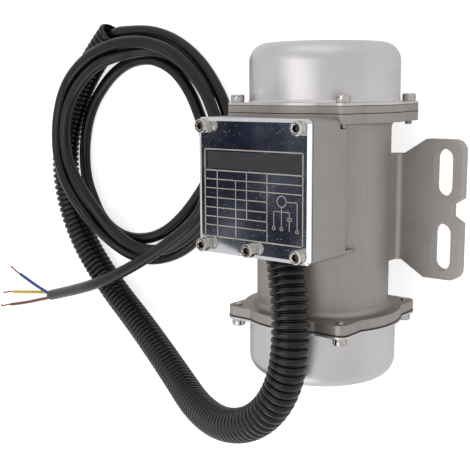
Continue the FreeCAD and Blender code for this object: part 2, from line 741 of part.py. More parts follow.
def make_rotor_core():
    body = new_body("rotor_core")
    ring = new_sketch(body, "lamination", "YZ_Plane", offset="-Dim.core_length / 2")
    circle(ring, "0", "0", "Dim.rotor_radius")
    circle(ring, "0", "0", "Dim.rotor_seat_diameter / 2 + Dim.bore_gap")
    pad(body, "core", ring, "Dim.core_length")
    hole = new_sketch(body, "bar_hole_outline", "YZ_Plane", offset="Dim.core_length / 2")
    circle(hole, "Dim.rotor_bar_pitch_radius", "0", "Dim.rotor_bar_diameter / 2 + Dim.bore_gap")
    bar_hole = pocket(body, "bar_hole", hole, "Dim.core_length")
    polar(body, "bar_holes", [bar_hole], BAR_COUNT)
    return keep(body)


def make_rotor_cage():
    """Cast bars and end rings."""
    body = new_body("rotor_cage")
    for name, start in (("rear_ring", "-Dim.core_length / 2 - Dim.end_ring_length"),
                        ("front_ring", "Dim.core_length / 2")):
        ring = new_sketch(body, f"{name}_outline", "YZ_Plane", offset=start)
        circle(ring, "0", "0", "Dim.rotor_radius")
        circle(ring, "0", "0", "Dim.end_ring_bore / 2")
        pad(body, name, ring, "Dim.end_ring_length")
    section = new_sketch(body, "bar_outline", "YZ_Plane", offset="-Dim.core_length / 2")
    circle(section, "Dim.rotor_bar_pitch_radius", "0", "Dim.rotor_bar_diameter / 2")
    bar = pad(body, "bar", section, "Dim.core_length")
    polar(body, "bars", [bar], BAR_COUNT)
    return keep(body)


def make_shaft():
    body = new_body("shaft")
    weight_seat = "(Dim.weight_seat_diameter / 2)"
    end = "(Dim.shaft_length / 2)"
    groove = f"({weight_seat} - Dim.ring_groove_depth)"
    half = (
        (SHOULDER, "Dim.rotor_seat_diameter / 2"),
        (SHOULDER, "Dim.bearing_bore / 2"),
        (WEIGHT_SHOULDER, "Dim.bearing_bore / 2"),
        (WEIGHT_SHOULDER, weight_seat),
        (RING_START, weight_seat),
        (RING_START, groove),
        (f"({RING_START} + Dim.ring_groove_width)", groove),
        (f"({RING_START} + Dim.ring_groove_width)", weight_seat),
        (f"({end} - Dim.shaft_chamfer)", weight_seat),
        (end, f"{weight_seat} - Dim.shaft_chamfer"),
        (end, "0"),
    )
    mirrored = tuple((f"-{x}", radius) for x, radius in reversed(half))
    sketch = new_sketch(body, "shaft_profile", "XZ_Plane")
    outline(sketch, mirrored + half)
    revolve(body, "turned_shaft", sketch)
    keyway_floor = f"({weight_seat} - Dim.key_in_shaft)"
    seats = new_sketch(body, "keyway_outline", "XY_Plane", offset=f"{keyway_floor}")
    for direction in (-1, 1):
        near = f"{direction} * {WEIGHT_SHOULDER}"
        far = f"{direction} * ({WEIGHT_SHOULDER} + Dim.hub_length)"
        low, high = (near, far) if direction > 0 else (far, near)
        outline(seats, box_corners(low, high, "-Dim.key_width / 2", "Dim.key_width / 2"))
    pocket(body, "keyways", seats, "2 * Dim.key_in_shaft", reverse=True)
    return keep(body)


def make_weight_keys():
    """One parallel key under each keyed weight."""
    template = document.addObject("Part::Box", "key_pattern")
    template.setExpression("Length", "Dim.hub_length")
    template.setExpression("Width", "Dim.key_width")
    template.setExpression("Height", "Dim.key_height")
    height = "Dim.axis_height + Dim.weight_seat_diameter / 2 - Dim.key_in_shaft"
    spots = (
        (WEIGHT_SHOULDER, "-Dim.key_width / 2", height, 0),
        (f"-{WEIGHT_SHOULDER}", "Dim.key_width / 2", height, 180),
    )
    return group("weight_keys", template, spots)


def make_weight(label, turn, start, sector_start, keyed):
    """Sector that hangs from a hub; the keyed one is driven, the other is held by a grub screw."""
    body = new_body(label, turn=turn)
    tip_y = "(Dim.weight_radius * sin(Dim.weight_half_angle))"
    tip_z = "(-Dim.weight_radius * cos(Dim.weight_half_angle))"
    sector = new_sketch(body, "sector_outline", "YZ_Plane", offset=sector_start)
    outline(sector, (
        (f"-{tip_y}", tip_z, "Dim.weight_radius", 1),
        (tip_y, tip_z),
        ("Dim.hub_radius * 0.8", "Dim.hub_radius * 0.5"),
        ("-Dim.hub_radius * 0.8", "Dim.hub_radius * 0.5"),
    ))
    pad(body, "sector", sector, "Dim.weight_thickness")
    hub = new_sketch(body, "hub_outline", "YZ_Plane", offset=start)
    circle(hub, "0", "0", "Dim.hub_radius")
    pad(body, "hub", hub, "Dim.hub_length")
    bore = new_sketch(body, "bore_outline", "YZ_Plane", offset=f"{start} + Dim.hub_length")
    circle(bore, "0", "0", "Dim.weight_seat_diameter / 2 + Dim.bore_gap")
    pocket(body, "bore", bore, "Dim.hub_length")
    if keyed:
        keyway = new_sketch(body, "keyway_outline", "YZ_Plane", offset=f"{start} + Dim.hub_length")
        top = "Dim.weight_seat_diameter / 2 - Dim.key_in_shaft + Dim.key_height + Dim.bore_gap"
        half = "(Dim.key_width / 2 + Dim.bore_gap)"
        outline(keyway, box_corners(f"-{half}", half, "0", top))
        pocket(body, "keyway", keyway, "Dim.hub_length")
    else:
        tapped = new_sketch(body, "grub_hole_outline", "XY_Plane", offset="Dim.hub_radius")
        circle(tapped, f"{start} + Dim.hub_length / 2", "0", "Dim.grub_screw_diameter / 2 + Dim.bore_gap")
        pocket(body, "grub_hole", tapped, "Dim.hub_radius")
    return keep(body)


def make_grub_screw(side, turn):
    """Socket grub screw that locks the adjustable weight on the shaft."""
    body = new_body(f"{side}_weight_grub_screw", turn=turn)
    top = "(Dim.hub_radius - 0.2)"
    seat = "(Dim.weight_seat_diameter / 2 + Dim.bore_gap)"
    middle = f"{OUTER_WEIGHT_START} + Dim.hub_length / 2"
    sketch = new_sketch(body, "grub_outline", "XY_Plane", offset=seat)
    circle(sketch, middle, "0", "Dim.grub_screw_diameter / 2")
    pad(body, "grub", sketch, f"{top} - {seat}")
    socket = new_sketch(body, "grub_socket_outline", "XY_Plane", offset=top)
    reach = "(Dim.grub_screw_diameter / 4 / cos(30))"
    corners = [(f"{middle} + {reach} * cos({60 * n})", f"{reach} * sin({60 * n})") for n in range(6)]
    outline(socket, corners)
    pocket(body, "grub_socket", socket, "Dim.grub_screw_diameter / 2.5")
    return keep(body)


def make_retaining_ring(side, turn):
    """Open ring in the shaft groove outside the adjustable weight."""
    body = new_body(f"{side}_retaining_ring", turn=turn)
    groove = "(Dim.weight_seat_diameter / 2 - Dim.ring_groove_depth + Dim.bore_gap)"
    sketch = new_sketch(body, "ring_outline", "YZ_Plane", offset=f"{RING_START} + Dim.bore_gap")
    circle(sketch, "0", "0", "Dim.ring_radius")
    circle(sketch, "0", "0", groove)
    pad(body, "ring", sketch, "Dim.ring_thickness")
    gap = new_sketch(body, "ring_gap_outline", "YZ_Plane", offset=f"{RING_START} + Dim.ring_groove_width")
    half = f"({groove} * 0.7)"
    outline(gap, box_corners(f"-{half}", half, "0", "Dim.ring_radius * 1.1"))
    pocket(body, "ring_gap", gap, "Dim.ring_groove_width * 2")
    return keep(body)


# --- Feet ----------------------------------------------------------------------------------

def make_foot(label, turn):
    """Bent plate on the -Y side: slotted foot turned outwards, web coped to the tube."""
    body = new_body(label, height="0", turn=turn)
    half_foot = "(Dim.foot_length / 2)"
    half_web = "(Dim.foot_web_length / 2)"
    inner = "(-(Dim.foot_web_face - Dim.foot_plate))"
    outer = "(-Dim.foot_outer)"
    notch_bottom = "(-Dim.foot_outer + Dim.notch_depth)"
    shoulder = "(-(Dim.foot_web_face + Dim.foot_bend))"
    plan = new_sketch(body, "foot_plan", "XY_Plane")
    outline(plan, (
        (f"-{half_web}", inner),
        (f"-{half_web}", shoulder),
        (f"-{half_foot}", "-Dim.foot_shoulder_end"),
        (f"-{half_foot}", f"{outer} + Dim.foot_corner", "Dim.foot_corner", 1),
        (f"Dim.foot_corner - {half_foot}", outer),
        ("-Dim.notch_top_width / 2", outer),
        ("-Dim.notch_bottom_width / 2", notch_bottom),
        ("Dim.notch_bottom_width / 2", notch_bottom),
        ("Dim.notch_top_width / 2", outer),
        (f"{half_foot} - Dim.foot_corner", outer, "Dim.foot_corner", 1),
        (half_foot, f"{outer} + Dim.foot_corner"),
        (half_foot, "-Dim.foot_shoulder_end"),
        (half_web, shoulder),
        (half_web, inner),
    ))
    for direction in (-1, 1):
        slot(plan, f"{direction} * Dim.slot_spacing_x / 2", "Dim.slot_inset - Dim.foot_outer",
             "Dim.slot_length", "Dim.slot_width")
    pad(body, "blank", plan, "Dim.axis_height")
    bend = "(Dim.foot_bend + Dim.foot_plate)"
    face = "(-Dim.foot_web_face)"
    far = f"({outer} - Dim.foot_plate)"
    cleared = new_sketch(body, "bend_profile", "YZ_Plane", offset=half_foot)
    outline(cleared, (
        (far, "Dim.foot_plate"),
        (f"{face} - Dim.foot_bend", "Dim.foot_plate", "Dim.foot_bend", 1),
        (face, "Dim.foot_plate + Dim.foot_bend"),
        (face, "Dim.axis_height * 1.1"),
        (far, "Dim.axis_height * 1.1"),
    ))
    pocket(body, "bend_inside", cleared, "Dim.foot_length")
    round_off = new_sketch(body, "bend_outside_profile", "YZ_Plane", offset=half_foot)
    outline(round_off, (
        (f"{inner} - {bend}", "-Dim.foot_plate"),
        (f"{inner} + Dim.foot_plate", "-Dim.foot_plate"),
        (f"{inner} + Dim.foot_plate", bend),
        (inner, bend, bend, -1),
        (f"{inner} - {bend}", "0"),
    ))
    pocket(body, "bend_outside", round_off, "Dim.foot_length")
    cope = new_sketch(body, "cope_outline", "YZ_Plane", offset=half_foot)
    circle(cope, "0", "Dim.axis_height", "Dim.tube_radius")
    pocket(body, "cope", cope, "Dim.foot_length")
    return keep(body)


# --- Terminal box --------------------------------------------------------------------------

COVER_SPOTS = [
    (f"(Dim.box_middle + {x} * Dim.cover_screw_span_x / 2)", f"({y} * Dim.cover_screw_span_y / 2)")
    for x, y in ((1, 1), (1, -1), (-1, 1), (-1, -1), (-1, 0))
]
BOX_HALF = "(Dim.box_width / 2)"


def rounded_rectangle(sketch, x_low, x_high, half, radius):
    """Rectangle about the sketch's X axis with four equal round corners."""
    outline(sketch, (
        (f"{x_low} + {radius}", f"-{half}"),
        (f"{x_high} - {radius}", f"-{half}", radius, 1),
        (x_high, f"{radius} - {half}"),
        (x_high, f"{half} - {radius}", radius, 1),
        (f"{x_high} - {radius}", half),
        (f"{x_low} + {radius}", half, radius, 1),
        (x_low, f"{half} - {radius}"),
        (x_low, f"{radius} - {half}", radius, 1),
    ))
    return sketch


def make_terminal_box():
    """Welded sheet box; its rear end wall reaches down round the tube as two lugs."""
    body = new_body("terminal_box")
    shell = new_sketch(body, "box_outline", "XY_Plane", offset="Dim.box_floor")
    rounded_rectangle(shell, BOX_REAR, BOX_FRONT, BOX_HALF, "Dim.box_corner")
    pad(body, "box", shell, f"{BOX_RIM} - Dim.box_floor")
    hollow = new_sketch(body, "hollow_outline", "XY_Plane", offset=BOX_RIM)
    outline(hollow, box_corners(f"{BOX_REAR} + Dim.box_wall", f"{BOX_FRONT} - Dim.box_wall",
                                f"Dim.box_wall - {BOX_HALF}", f"{BOX_HALF} - Dim.box_wall"))
    pocket(body, "hollow", hollow, f"{BOX_RIM} - {BOX_FLOOR_TOP}")
    lug_tip = "(Dim.box_floor - Dim.lug_drop)"
    lugs = new_sketch(body, "lug_outline", "YZ_Plane", offset=BOX_REAR)
    outline(lugs, (
        ("-Dim.lug_half_width", lug_tip),
        ("Dim.lug_half_width", lug_tip),
        (f"{BOX_HALF} - Dim.box_corner", BOX_FLOOR_TOP),
        (f"Dim.box_corner - {BOX_HALF}", BOX_FLOOR_TOP),
    ))
    pad(body, "lugs", lugs, "Dim.box_wall")
    tabs = new_sketch(body, "tab_outline", "XY_Plane", offset=BOX_RIM)
    for x, y in COVER_SPOTS:
        circle(tabs, x, y, "Dim.tab_radius")
    pad(body, "tabs", tabs, "Dim.tab_depth", reverse=True)
    tapped = new_sketch(body, "tapped_outline", "XY_Plane", offset=BOX_RIM)
    for x, y in COVER_SPOTS:
        circle(tapped, x, y, TAPPED_RADIUS)
    pocket(body, "tapped_holes", tapped, "Dim.tab_depth")
    saddle = new_sketch(body, "saddle_outline", "YZ_Plane", offset=BOX_FRONT)
    circle(saddle, "0", "0", "Dim.tube_radius")
    pocket(body, "saddle", saddle, "Dim.box_length")
    seat = new_sketch(body, "flange_seat_outline", "YZ_Plane", offset=BOX_FRONT)
    circle(seat, "0", "0", "Dim.flange_radius + Dim.fit_gap")
    pocket(body, "flange_seat", seat, f"{BOX_FRONT} - {BODY_FRONT_INNER} + Dim.root_fillet")
    screw_end = f"({CAP_FACE} - Dim.front_screw_length)"
    for quarter, side in enumerate(("left", "right")):
        ear = ear_sketch(body, f"{side}_ear_seat", BOX_FRONT, "Dim.fit_gap", quarter)
        pocket(body, f"{side}_ear_cut", ear, f"{BOX_FRONT} - {screw_end} + Dim.fit_gap")
    entry = new_sketch(body, "entry_outline", "YZ_Plane", offset=f"{BOX_REAR} + Dim.box_wall")
    circle(entry, "-Dim.entry_side", "Dim.entry_height", "Dim.entry_hole_diameter / 2")
    pocket(body, "conduit_entry", entry, "2 * Dim.box_wall")
    earth = new_sketch(body, "earth_hole_outline", "XY_Plane", offset=BOX_FLOOR_TOP)
    circle(earth, "Dim.earth_screw_x", "Dim.earth_screw_y", TAPPED_RADIUS)
    pocket(body, "earth_hole", earth, "2 * Dim.box_wall")
    return keep(body)


def make_cover_plate(label, start, thickness, bevelled=False):
    """Plate or gasket with the outline of the box and the cover's five holes."""
    body = new_body(label)
    sketch = new_sketch(body, "plate_outline", "XY_Plane", offset=start)
    rounded_rectangle(sketch, BOX_REAR, BOX_FRONT, BOX_HALF, "Dim.box_corner")
    plate = pad(body, "plate", sketch, thickness)
    if bevelled:
        top = value(start) + value(thickness)
        chamfer(body, "bevel", plate, "Dim.cover_bevel_width", "Dim.cover_bevel_depth",
                lambda edge: edge.BoundBox.ZMin > top - 1e-3)
    holes = new_sketch(body, "hole_outline", "XY_Plane", offset=f"{start} + {thickness}")
    for x, y in COVER_SPOTS:
        circle(holes, x, y, CLEAR_RADIUS)
    pocket(body, "holes", holes, thickness)
    return body


def make_box_gasket():
    body = make_cover_plate("box_gasket", BOX_RIM, "Dim.cover_gasket")
    window = new_sketch(body, "window_outline", "XY_Plane", offset=COVER_UNDERSIDE)
    border = "(Dim.tab_radius + Dim.box_wall + 3)"
    outline(window, box_corners(f"{BOX_REAR} + {border}", f"{BOX_FRONT} - {border}",
                                f"{border} - {BOX_HALF}", f"{BOX_HALF} - {border}"))
    pocket(body, "window", window, "Dim.cover_gasket")
    return keep(body)


def make_spring_washers():
    """Split washers under the cover screws."""
    template = new_body("spring_washer_pattern", height="0")
    sketch = new_sketch(template, "washer_outline", "XY_Plane")
    circle(sketch, "0", "0", "Dim.spring_washer_diameter / 2")
    circle(sketch, "0", "0", TAPPED_RADIUS)
    pad(template, "washer", sketch, "Dim.spring_washer")
    slit = new_sketch(template, "slit_outline", "XY_Plane", offset="Dim.spring_washer")
    half = "(Dim.spring_washer_slit / 2)"
    outline(slit, box_corners("0", "Dim.spring_washer_diameter", f"-{half}", half))
    pocket(template, "slit", slit, "Dim.spring_washer")
    height = "Dim.axis_height + Dim.cover_top"
    spots = [(x, y, height, 60 * n) for n, (x, y) in enumerate(COVER_SPOTS)]
    return group("cover_spring_washers", template, spots)


def make_cover_screws():
    template = make_screw("cover_screw_pattern", "Dim.cover_screw_length")
    height = "Dim.axis_height + Dim.cover_top + Dim.spring_washer"
    spots = [(x, y, height, 15 * n) for n, (x, y) in enumerate(COVER_SPOTS)]
    return group("cover_screws", template, spots, UPRIGHT)


def make_conduit_bush():
    """Plastic bush that lines the entry hole and centres the conduit on it."""
    body = new_body("conduit_bush")
    inside = f"({BOX_REAR} + Dim.box_wall)"
    sleeve = "(Dim.entry_hole_diameter / 2 - Dim.fit_gap)"
    flange = new_sketch(body, "bush_flange_outline", "YZ_Plane", offset=inside)
    circle(flange, "-Dim.entry_side", "Dim.entry_height", "Dim.bush_flange_diameter / 2")
    circle(flange, "-Dim.entry_side", "Dim.entry_height", f"{sleeve} - Dim.bush_wall")
    pad(body, "bush_flange", flange, "Dim.bush_flange")
    tube_part = new_sketch(body, "bush_sleeve_outline", "YZ_Plane", offset=inside)
    circle(tube_part, "-Dim.entry_side", "Dim.entry_height", sleeve)
    circle(tube_part, "-Dim.entry_side", "Dim.entry_height", f"{sleeve} - Dim.bush_wall")
    pad(body, "bush_sleeve", tube_part, "Dim.box_wall + Dim.bush_reach", reverse=True)
    return keep(body)


# --- Inside the terminal box ---------------------------------------------------------------

POLE_COUNT = 4
POLE_SPOTS = [f"(Dim.block_first_x + {n} * Dim.block_pitch)" for n in range(POLE_COUNT)]
POLE_MIDDLE = "(Dim.block_front + Dim.block_depth / 2)"


def make_terminal_block():
    """Moulded strip with an open pocket for each pole."""
    body = new_body("terminal_block")
    block = new_sketch(body, "block_outline", "XY_Plane", offset=BOX_FLOOR_TOP)
    outline(block, box_corners(f"{POLE_SPOTS[0]} - Dim.block_margin", f"{POLE_SPOTS[-1]} + Dim.block_margin",
                               "Dim.block_front", "Dim.block_front + Dim.block_depth"))
    pad(body, "block", block, "Dim.block_height")
    top = f"({BOX_FLOOR_TOP} + Dim.block_height)"
    wells = new_sketch(body, "well_outline", "XY_Plane", offset=top)
    for x in POLE_SPOTS:
        circle(wells, x, POLE_MIDDLE, "Dim.pole_screw_diameter / 2 + 2 * Dim.thread_gap")
    pocket(body, "screw_wells", wells, "Dim.pole_depth")
    return keep(body)


def make_terminal_screws():
    """Slotted clamping screws, one to a pole."""
    template = new_body("terminal_screw_pattern", height="0")
    sketch = new_sketch(template, "screw_outline", "XY_Plane")
    circle(sketch, "0", "0", "Dim.pole_screw_diameter / 2")
    pad(template, "screw", sketch, "Dim.pole_screw_height")
    slot_cut = new_sketch(template, "driver_slot_outline", "XY_Plane", offset="Dim.pole_screw_height")
    half = "(Dim.pole_screw_diameter / 12)"
    reach = "Dim.pole_screw_diameter"
    outline(slot_cut, box_corners(f"-{reach}", reach, f"-{half}", half))
    pocket(template, "driver_slot", slot_cut, "Dim.pole_screw_height / 2")
    height = f"Dim.axis_height + {BOX_FLOOR_TOP} + Dim.block_height - Dim.pole_depth"
    spots = [(x, POLE_MIDDLE, height, 35 * n) for n, x in enumerate(POLE_SPOTS)]
    return group("terminal_screws", template, spots)


def make_run_capacitor():
    body = new_body("run_capacitor")
    sketch = new_sketch(body, "capacitor_outline", "XY_Plane", offset=BOX_FLOOR_TOP)
    outline(sketch, box_corners("Dim.capacitor_x", "Dim.capacitor_x + Dim.capacitor_length",
                                "Dim.capacitor_y", "Dim.capacitor_y + Dim.capacitor_width"))
    case = pad(body, "case", sketch, "Dim.capacitor_height")
    fillet(body, "case_corners", case, "Dim.box_corner", upright)
    return keep(body)


def make_earth_screw():
    template = make_screw("earth_screw_pattern", "Dim.earth_screw_length")
    height = f"Dim.axis_height + {BOX_FLOOR_TOP}"
    return group("earth_screw", template, [("Dim.earth_screw_x", "Dim.earth_screw_y", height, 0)], UPRIGHT)


def make_lead_grommet():
    """Rubber grommet in the hole between the tube and the box."""
    body = new_body("lead_grommet")
    sleeve = "(Dim.lead_hole_diameter / 2 - Dim.grommet_gap)"
    lip = f"({sleeve} + Dim.grommet_lip_reach)"
    bore = f"({sleeve} - Dim.grommet_wall)"
    crown = "(Dim.tube_radius + Dim.grommet_gap)"
    under = f"(sqrt({TUBE_BORE}^2 - {lip}^2) - Dim.grommet_gap)"
    sketch = new_sketch(body, "grommet_profile", "XZ_Plane", shift=("Dim.lead_hole_x", "0"))
    outline(sketch, (
        (bore, f"{under} - Dim.grommet_lip"),
        (lip, f"{under} - Dim.grommet_lip"),
        (lip, under),
        (sleeve, under),
        (sleeve, crown),
        (lip, crown),
        (lip, f"{crown} + Dim.grommet_lip"),
        (bore, f"{crown} + Dim.grommet_lip"),
    ))
    revolve(body, "grommet", sketch, (sketch, ["V_Axis"]))
    return keep(body)


# --- Leads ---------------------------------------------------------------------------------


def route_path(points):
    """Straight runs joined by tangent arcs, and the radii of those arcs."""
    places = [Vector(*point) for point in points]
    edges = []
    radii = []
    start = places[0]
    for before, corner, after in zip(places, places[1:], places[2:]):
        back = before - corner
        ahead = after - corner
        turn = math.pi - back.getAngle(ahead)
        reach = CORD_REACH * min(back.Length, ahead.Length)
        back.normalize()
        ahead.normalize()
        radius = reach / math.tan(turn / 2)
        inward = (back + ahead).normalize()
        middle = corner + inward * (radius / math.cos(turn / 2) - radius)
        first = corner + back * reach
        last = corner + ahead * reach
        edges.append(Part.LineSegment(start, first).toShape())
        edges.append(Part.Arc(first, middle, last).toShape())
        radii.append(radius)
        start = last
    edges.append(Part.LineSegment(start, places[-1]).toShape())
    return Part.Wire(edges), radii


def rod(name, points, radius):
    """Round rod along a route, with its volume checked against section times length."""
    path, radii = route_path(points)
    direction = Vector(*points[1]) - Vector(*points[0])
    section = Part.Wire([Part.Circle(Vector(*points[0]), direction, radius).toShape()])
    solid = path.makePipeShell([section], True, True)
    expected = math.pi * radius ** 2 * path.Length
    if abs(solid.Volume / expected - 1) > 0.01:
        raise RuntimeError(f"{name}: volume {solid.Volume:.1f}, expected {expected:.1f}")
    print(f"{name}: {path.Length:.0f} mm long, tightest bend {min(radii) / radius / 2:.1f} diameters")
    return solid


def new_feature(label, shape, height="0"):
    feature = document.addObject("Part::Feature", label)
    feature.Label = label
    feature.Shape = shape
    feature.Placement = Placement(Vector(0, 0, value(height)), Rotation())
    return feature


def make_leads(label, routes, diameter, height="0"):
    """Group of short leads along hand-laid routes."""
    rods = [rod(label, route, value(diameter) / 2) for route in routes]
    return keep(new_feature(label, Part.Compound(rods), height))


def make_conduit():
    """Hollow conduit, cut flush with the end wall of the box."""
    outside = value("Dim.conduit_diameter") / 2
    wall = value(BOX_REAR)
    tube_solid = rod("conduit", CONDUIT_ROUTE, outside)
    bore = rod("conduit bore", CONDUIT_ROUTE, value("Dim.conduit_bore") / 2)
    far = abs(min(point[0] for point in CONDUIT_ROUTE)) * 2
    beyond = Part.makeBox(far, far, far, Vector(wall, -far / 2, 0))
    return keep(new_feature("conduit", tube_solid.cut([bore, beyond])))


def make_coil():
    """Outer shape of the loose coil, with room for the conduit that runs through it."""
    shapes = {}
    for name, half_length, half_width in (
        ("coil_outside", "Dim.coil_half_length", "Dim.coil_half_width"),
        ("coil_eye", "Dim.coil_half_length - Dim.coil_band_length",
         "Dim.coil_half_width - Dim.coil_band_width"),
    ):
        ellipse = document.addObject("Part::Ellipse", f"{name}_outline")
        ellipse.setExpression("MajorRadius", half_length)
        ellipse.setExpression("MinorRadius", half_width)
        ellipse.setExpression("Placement.Base.x", "Dim.coil_x")
        ellipse.setExpression("Placement.Base.y", "Dim.coil_y")
        shapes[name] = document.addObject("Part::Extrusion", name)
        shapes[name].Base = ellipse
        shapes[name].DirMode = "Custom"
        shapes[name].Dir = Vector(0, 0, 1)
        shapes[name].Solid = True
        shapes[name].setExpression("LengthFwd", "2 * Dim.coil_high_top")
    slope = document.addObject("Part::Wedge", "coil_slope")
    for name, distance in (
        ("Ymin", "Dim.coil_y - Dim.coil_half_width"), ("Ymax", "Dim.coil_y + Dim.coil_half_width"),
        ("Xmin", "Dim.coil_x - Dim.coil_half_length"), ("Xmax", "Dim.coil_x + Dim.coil_half_length"),
        ("X2min", "Dim.coil_x - Dim.coil_half_length"), ("X2max", "Dim.coil_x + Dim.coil_half_length"),
        ("Zmin", "0"), ("Z2min", "0"), ("Zmax", "Dim.coil_low_top"), ("Z2max", "Dim.coil_high_top"),
    ):
        slope.setExpression(name, distance)
    whole = document.addObject("Part::MultiCommon", "coil_whole")
    whole.Shapes = [shapes["coil_outside"], slope]
    ring = document.addObject("Part::Cut", "coil_ring")
    ring.Base = whole
    ring.Tool = shapes["coil_eye"]
    room = rod("room for the conduit", CONDUIT_LYING, value("Dim.conduit_diameter / 2 + Dim.cord_gap"))
    coil = document.addObject("Part::Cut", "cable_coil")
    coil.Label = "cable_coil"
    coil.Base = ring
    coil.Tool = new_feature("conduit_room", room)
    document.recompute()
    return keep(coil)


def make_cable(coil):
    """Cable from the box through the conduit to the coil, and its free end on top of the coil."""
    radius = value("Dim.cable_diameter") / 2
    lead_route = CABLE_START + CONDUIT_ROUTE[1:] + CABLE_END
    lead = rod("cable_lead", lead_route, radius).cut(coil.Shape)
    keep(new_feature("cable_lead", lead))
    tail = rod("cable_tail", TAIL_ROUTE, radius).cut(coil.Shape)
    keep(new_feature("cable_tail", tail))
    for label, route in WIRE_ROUTES.items():
        wire = rod(label, route, value("Dim.wire_diameter") / 2).cut(tail)
        keep(new_feature(label, wire))
    make_leads("bare_wire_ends", COPPER_ROUTES, "Dim.copper_diameter")


def main():
    make_motor_body()
    make_front_end_shield()
    for side, turn in SIDES:
        make_cap(side, turn)
        make_cap_screws(side, turn)
        make_bearing(side, turn)
    make_gaskets()
    make_stator_core()
    make_stator_winding()
    make_rotor_core()
    make_rotor_cage()
    make_shaft()
    make_weight_keys()
    for side, turn in SIDES:
        make_weight(f"{side}_keyed_weight", turn, WEIGHT_SHOULDER, WEIGHT_SHOULDER, True)
        outer_sector = f"({OUTER_WEIGHT_START} + Dim.hub_length - Dim.weight_thickness)"
        make_weight(f"{side}_adjustable_weight", turn, OUTER_WEIGHT_START, outer_sector, False)
        make_grub_screw(side, turn)
        make_retaining_ring(side, turn)
    make_foot("right_foot", 0)
    make_foot("left_foot", 180)
    make_terminal_box()
    make_box_gasket()
    keep(make_cover_plate("box_cover", COVER_UNDERSIDE, "Dim.cover_thickness", bevelled=True))
    make_spring_washers()
    make_cover_screws()
    make_conduit_bush()
    make_terminal_block()
    make_terminal_screws()
    make_run_capacitor()
    make_earth_screw()
    make_lead_grommet()
    make_leads("winding_leads", WINDING_LEADS, "Dim.lead_diameter", "Dim.axis_height")
    make_leads("supply_cores", SUPPLY_CORES, "Dim.wire_diameter", "Dim.axis_height")
    make_leads("capacitor_leads", CAPACITOR_LEADS, "Dim.lead_diameter", "Dim.axis_height")
    make_conduit()
    make_cable(make_coil())


def check_and_export():
    """Stop on any failed feature or unsound shape, then write one file for each sub-part."""
    document.recompute()
    for item in document.Objects:
        if {"Invalid", "Error"} & set(item.State):
            raise RuntimeError(f"{item.Label} is {item.State}")
    os.makedirs("parts", exist_ok=True)
    for item in PARTS:
        shape = item.Shape
        if shape.isNull() or not shape.isValid() or not shape.Solids:
            raise RuntimeError(f"{item.Label} has no sound shape")
        print(f"{item.Label}: solids {len(shape.Solids)}, volume {shape.Volume:.1f}")
        shape.exportStep(f"parts/{item.Label}.step")


main()
check_and_export()
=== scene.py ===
import json
import math
import random

import bmesh
import bpy
from mathutils import Matrix, Vector


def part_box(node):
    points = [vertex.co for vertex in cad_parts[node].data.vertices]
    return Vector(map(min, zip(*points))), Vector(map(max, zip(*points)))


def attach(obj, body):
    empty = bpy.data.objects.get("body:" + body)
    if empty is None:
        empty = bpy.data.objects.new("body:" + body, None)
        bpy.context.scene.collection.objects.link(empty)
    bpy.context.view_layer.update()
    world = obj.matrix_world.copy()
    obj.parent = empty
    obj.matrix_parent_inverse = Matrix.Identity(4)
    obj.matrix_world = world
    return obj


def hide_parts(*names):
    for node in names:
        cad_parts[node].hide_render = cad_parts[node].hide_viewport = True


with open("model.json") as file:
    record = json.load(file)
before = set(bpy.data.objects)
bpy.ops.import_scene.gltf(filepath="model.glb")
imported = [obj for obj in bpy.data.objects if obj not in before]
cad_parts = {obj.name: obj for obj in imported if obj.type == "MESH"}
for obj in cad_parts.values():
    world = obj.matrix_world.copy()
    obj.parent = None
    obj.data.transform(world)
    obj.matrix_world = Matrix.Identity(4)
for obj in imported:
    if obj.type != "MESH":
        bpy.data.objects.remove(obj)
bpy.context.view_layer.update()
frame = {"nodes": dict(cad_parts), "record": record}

NODES = frame["nodes"]
MOTOR = "motor"                 # body that everything still rides on
MM = 0.001
WHITE = (1, 1, 1, 1)
SIXTH_TURN = math.pi / 3
random.seed(7)


def mm(*numbers):
    """Point or size given in millimetres, in metres."""
    return Vector(numbers) * MM


def collection_link(obj):
    """Put a new object into the scene and give it back."""
    bpy.context.scene.collection.objects.link(obj)
    return obj


# --- Node trees ----------------------------------------------------------------------------


